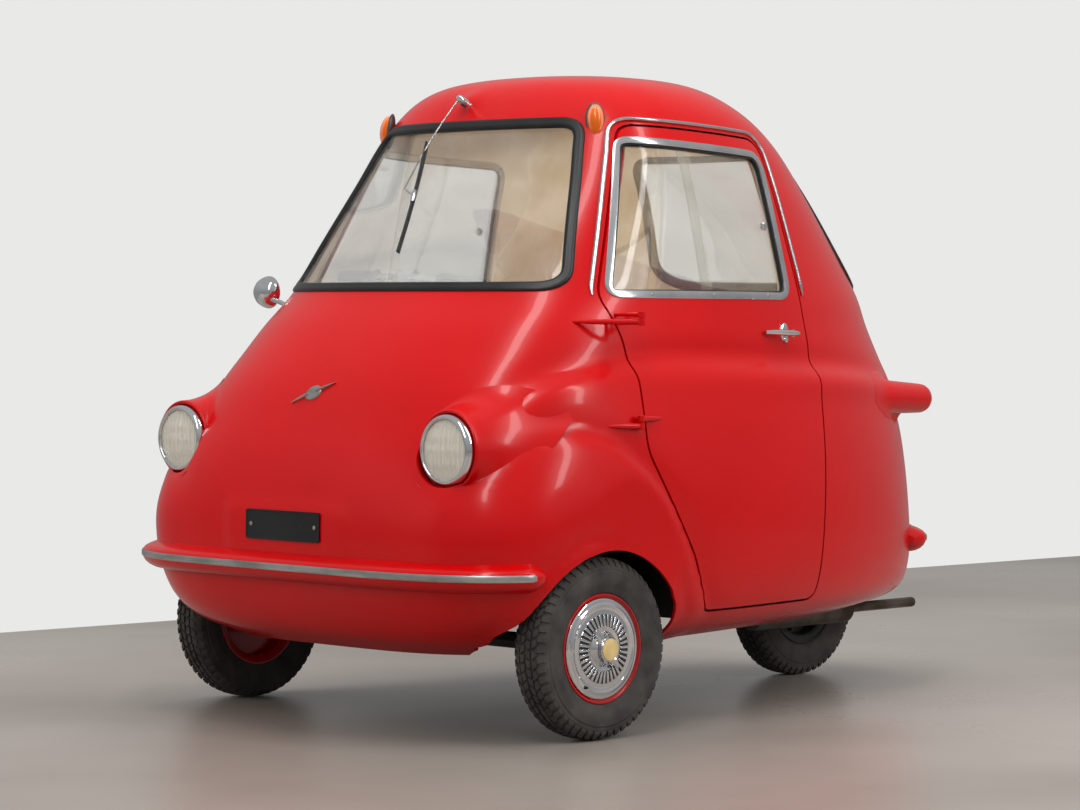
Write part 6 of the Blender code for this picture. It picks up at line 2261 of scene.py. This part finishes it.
    def floor(self) -> None:
        """Ribbed rubber on the cabin's floor, ahead of the seat."""
        low, high = (-0.360, -0.020, 0.2655), (0.360, 0.480, 0.2700)
        mat = box(low, high, 0.0015)
        ribs = [
            box(
                (low[0] + 0.02, low[1] + 0.03 * k + 0.02, high[2] - 0.001),
                (high[0] - 0.02, low[1] + 0.03 * k + 0.030, high[2] + 0.002), 0.001, 1
            )
            for k in range(15)
        ]
        piece("floor_mat", joined(mat, *ribs), FLOOR_RUBBER)
        for index, (x, y) in enumerate(((0.060, 0.030), (-0.060, 0.030))):
            pad = box((x - 0.028, y - 0.006, 0.330), (x + 0.028, y + 0.006, 0.385), 0.003)
            arm = bar(
                [(x, y, 0.355), (x, y - 0.030, 0.315), (x, y - 0.045, 0.272)], (0.006, 0.006, 0.006), 12
            )
            piece(f"pedal_{index + 1}", joined(pad, arm), FLOOR_RUBBER)

    def build(self) -> None:
        """Make the cabin."""
        Pad("seat_cushion_pad", "seat_cushion", (-0.30, -0.15, 0.0, 0.15, 0.30)).build()
        Pad("seat_back_pad", "seat_back", (-0.26, -0.13, 0.0, 0.13, 0.26)).build()
        dress_nodes(TRIM_BOARD, "seat_base")
        self.handlebar()
        self.instrument()
        self.door_lining()
        self.floor()


@dataclass
class Underside:
    """The running gear: dressed nodes, with a coil spring, fins, bolts and wire loops added."""

    rear_axle_y: float = 1.370

    def spring(
        self, low: Vector, high: Vector, radius: float, turns: float, wire: float
    ) -> bmesh.types.BMesh:
        """A coil spring between two points."""
        along = (high - low).normalized()
        across = along.cross(Vector((1.0, 0.0, 0.0))).normalized()
        third = along.cross(across)
        steps = int(turns * 18)
        line = []
        for k in range(steps + 1):
            angle = math.tau * turns * k / steps
            around = across * math.cos(angle) + third * math.sin(angle)
            line.append(low.lerp(high, k / steps) + around * radius)
        return bar(line, [wire] * len(line), 8)

    def cables(self) -> bmesh.types.BMesh:
        """Two wire loops that hang behind the nose."""
        loops = [
            [
                (-0.060, -0.170, 0.262), (-0.052, -0.176, 0.205), (-0.020, -0.180, 0.190),
                (0.000, -0.176, 0.214), (0.004, -0.170, 0.262)
            ],
            [
                (0.300, -0.090, 0.262), (0.306, -0.094, 0.228), (0.336, -0.096, 0.216),
                (0.360, -0.092, 0.232), (0.364, -0.086, 0.262)
            ],
        ]
        wires = [bar(smooth_line(points, 8), [0.0026] * (8 * (len(points) - 1) + 1), 8) for points in loops]
        return joined(*wires)

    def fins(self) -> bmesh.types.BMesh:
        """Cooling fins round the engine, and the bolts of its side cover."""
        low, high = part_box("engine_block")
        shift = Vector((0.0, -AXLE_Y, 0.0))
        low, high = low + shift, high + shift
        parts = []
        for k in range(9):
            z = high.z - 0.020 - 0.014 * k
            near = (low.x - 0.004, low.y - 0.004, z - 0.0012)
            far = (high.x + 0.004, high.y + 0.004, z + 0.0012)
            parts.append(box(near, far, 0.0006, 1))
        for k in range(8):
            angle = math.tau * k / 8
            spot = (
                high.x + 0.0005, (low.y + high.y) / 2 + 0.052 * math.cos(angle),
                low.z + 0.075 + 0.052 * math.sin(angle)
            )
            parts.append(spun([(0.0, 0.0), (0.0062, 0.0), (0.0062, 0.004), (0.0, 0.0045)], spot, Axis.X, 6))
        return joined(*parts)

    def build(self) -> None:
        """Dress the running gear and add its small parts."""
        dress_nodes(
            CHASSIS_BLACK, "chassis_frame", "floor_pan", "front_axle_beam", "swing_arm", "wheel_guard"
        )
        dress_nodes(CHASSIS_BLACK, "knuckle_left", "knuckle_right", "track_rod")
        dress_nodes(CAST_ALUMINIUM, "engine_block")
        dress_nodes(EXHAUST_STEEL, "exhaust")
        piece("wire_loops", self.cables(), SEAL_RUBBER)
        piece("engine_fins", self.fins(), CAST_ALUMINIUM)
        arm_low = Vector((0.110, self.rear_axle_y - 0.080, 0.245))
        arm_high = Vector((0.110, self.rear_axle_y - 0.080, 0.440))
        piece(
            "rear_coil_spring", self.spring(arm_low, arm_high, 0.026, 7.0, 0.0042), CHASSIS_BLACK,
        )


# The studio


@dataclass
class Studio:
    """Pale floor, soft lamps and the photograph's camera."""

    azimuth: float = 45.18
    pitch: float = 1.5985
    roll: float = 0.1666
    place: tuple[float, float, float] = (5.8544, -5.3908, 0.9566)
    lens_mm: float = 112.78
    # Where the floor meets the wall: metres ahead of the camera and to its right
    wall_left: Point2 = (9.98, -1.593)
    wall_right: Point2 = (13.26, 2.117)

    def camera(self) -> None:
        """Set the camera as the photograph's stood."""
        data = bpy.data.cameras.new("photo_camera")
        data.lens = self.lens_mm
        data.sensor_width = 36.0
        data.clip_end = 60.0
        camera = bpy.data.objects.new("photo_camera", data)
        bpy.context.scene.collection.objects.link(camera)
        azimuth, pitch, roll = (math.radians(a) for a in (self.azimuth, self.pitch, self.roll))
        forward = Vector(
            (-math.sin(azimuth) * math.cos(pitch), math.cos(azimuth) * math.cos(pitch), -math.sin(pitch))
        )
        right = Vector((math.cos(azimuth), math.sin(azimuth), 0.0))
        up = right.cross(forward)
        side = right * math.cos(roll) + up * math.sin(roll)
        top = up * math.cos(roll) - right * math.sin(roll)
        turn = Matrix((side, top, -forward)).transposed().to_4x4()
        camera.matrix_world = Matrix.Translation(Vector(self.place) + Vector((0.0, AXLE_Y, 0.0))) @ turn
        bpy.context.scene.camera = camera

    def lamp(
        self, name: str, spot: Sequence[float], target: Sequence[float], size: Point2, power: float,
        mirrored: bool = False,
    ) -> None:
        """Hang one rectangular softbox.

        Args:
            name: its name.
            spot: where it hangs.
            target: what it points at.
            size: its two sides.
            power: its power in watts.
            mirrored: whether glossy surfaces show it.
        """
        data = bpy.data.lights.new(name, "AREA")
        data.shape = "RECTANGLE"
        data.size, data.size_y = size
        data.energy = power
        item = bpy.data.objects.new(name, data)
        bpy.context.scene.collection.objects.link(item)
        way = Vector(target) - Vector(spot)
        turn = way.to_track_quat("-Z", "Y").to_matrix().to_4x4()
        item.matrix_world = Matrix.Translation(Vector(spot)) @ turn
        item.visible_camera = False
        item.visible_transmission = False
        item.visible_glossy = mirrored

    def floor(self) -> None:
        """Lay a polished concrete floor that fades into the backdrop."""
        azimuth = math.radians(self.azimuth)
        ahead = Vector((-math.sin(azimuth), math.cos(azimuth), 0.0))
        aside = Vector((math.cos(azimuth), math.sin(azimuth), 0.0))
        foot = Vector((self.place[0], self.place[1] + AXLE_Y, 0.0))
        left = foot + ahead * self.wall_left[0] + aside * self.wall_left[1]
        right = foot + ahead * self.wall_right[0] + aside * self.wall_right[1]
        along = (right - left).normalized() * 24.0
        bm = bmesh.new()
        corners = (left - along, left - along - ahead * 30.0, right + along - ahead * 30.0, right + along)
        bm.faces.new([bm.verts.new(corner) for corner in corners])
        ground = linked("studio_floor", as_mesh(bm, "studio_floor"))
        concrete = Finish(
            "polished_concrete", "A79F97", 0.30, second="857D75", grain_mm=420.0, bump=0.05, bump_mm=30.0,
            roughness_spread=0.16, detail=8.0,
        )
        ground.data.materials.append(concrete.build())

    def world(self) -> None:
        """A pale studio all round, seen white by the camera."""
        world = bpy.data.worlds.new("studio")
        bpy.context.scene.world = world
        world.use_nodes = True
        tree = world.node_tree
        tree.nodes.clear()
        path = add_node(tree, "ShaderNodeLightPath")
        seen = add_node(
            tree, "ShaderNodeMath", {"operation": "MAXIMUM"},
            {0: path.outputs["Is Camera Ray"], 1: path.outputs["Is Transmission Ray"]},
        )
        place = add_node(tree, "ShaderNodeTexCoord").outputs["Generated"]
        height = add_node(tree, "ShaderNodeSeparateXYZ", {}, {0: place}).outputs["Z"]
        ramp = add_node(tree, "ShaderNodeValToRGB", {}, {"Fac": height})
        low, high = ramp.color_ramp.elements
        low.position, high.position = 0.0, 0.55
        low.color, high.color = srgb("BFBFC0"), srgb("E9E9E8")
        wall = add_node(tree, "ShaderNodeBackground", {"Color": srgb("E9E9E7"), "Strength": 1.0})
        mirrored = add_node(tree, "ShaderNodeMapRange", {"From Max": 1.0, "To Min": 0.86, "To Max": 0.55},
                            {"Value": path.outputs["Is Glossy Ray"]})
        light = add_node(tree, "ShaderNodeBackground", {},
                         {"Color": ramp.outputs["Color"], "Strength": mirrored.outputs[0]})
        mixed = add_node(
            tree, "ShaderNodeMixShader", {}, {0: seen.outputs[0], 1: light.outputs[0], 2: wall.outputs[0]}
        )
        add_node(tree, "ShaderNodeOutputWorld", {}, {"Surface": mixed.outputs[0]})

    def build(self) -> None:
        """Set the stage."""
        scene = bpy.context.scene
        scene.view_settings.view_transform = "Standard"
        self.camera()
        self.floor()
        self.world()
        self.lamp("strip_over_nose", (1.6, -2.2, 3.9), (0.2, -0.4, 0.6), (0.35, 4.0), 60.0, mirrored=True)
        self.lamp("strip_over_side", (3.4, 0.4, 3.6), (0.3, 0.2, 0.7), (0.35, 4.0), 60.0, mirrored=True)
        self.lamp("top_box", (-0.8, 0.2, 4.6), (0.0, 0.0, 0.8), (4.0, 4.0), 95.0)
        self.lamp("left_fill", (5.6, 2.5, 2.4), (0.2, 0.3, 0.7), (3.5, 3.0), 105.0)
        self.lamp("cabin_bounce", (0.0, -0.05, 1.36), (0.0, 0.10, 0.6), (0.45, 0.55), 5.0)
        self.lamp("nose_fill", (-2.6, -5.4, 2.2), (0.0, -0.6, 0.6), (3.5, 3.0), 110.0)


def main() -> None:
    """Build every sub-assembly in order."""
    logging.basicConfig(level=logging.INFO, format="%(message)s")
    form = BodyForm()
    Studio().build()
    work = Bodywork(form)
    work.build()
    BodyDetail(form, work).build()
    Glazing(form).build()
    Lamps(form, work).build()
    Wheel("front_left", "tyre_front_left", "rim_front_left", Side.LEFT).build("wheel_front_left")
    Wheel("front_right", "tyre_front_right", "rim_front_right", Side.RIGHT).build("wheel_front_right")
    Wheel("rear", "tyre_rear", "rim_rear", Side.LEFT, capped=False).build("wheel_rear")
    Fittings(form).build()
    Cabin(form).build()
    Underside().build()


if __name__ == "__main__":
    main()
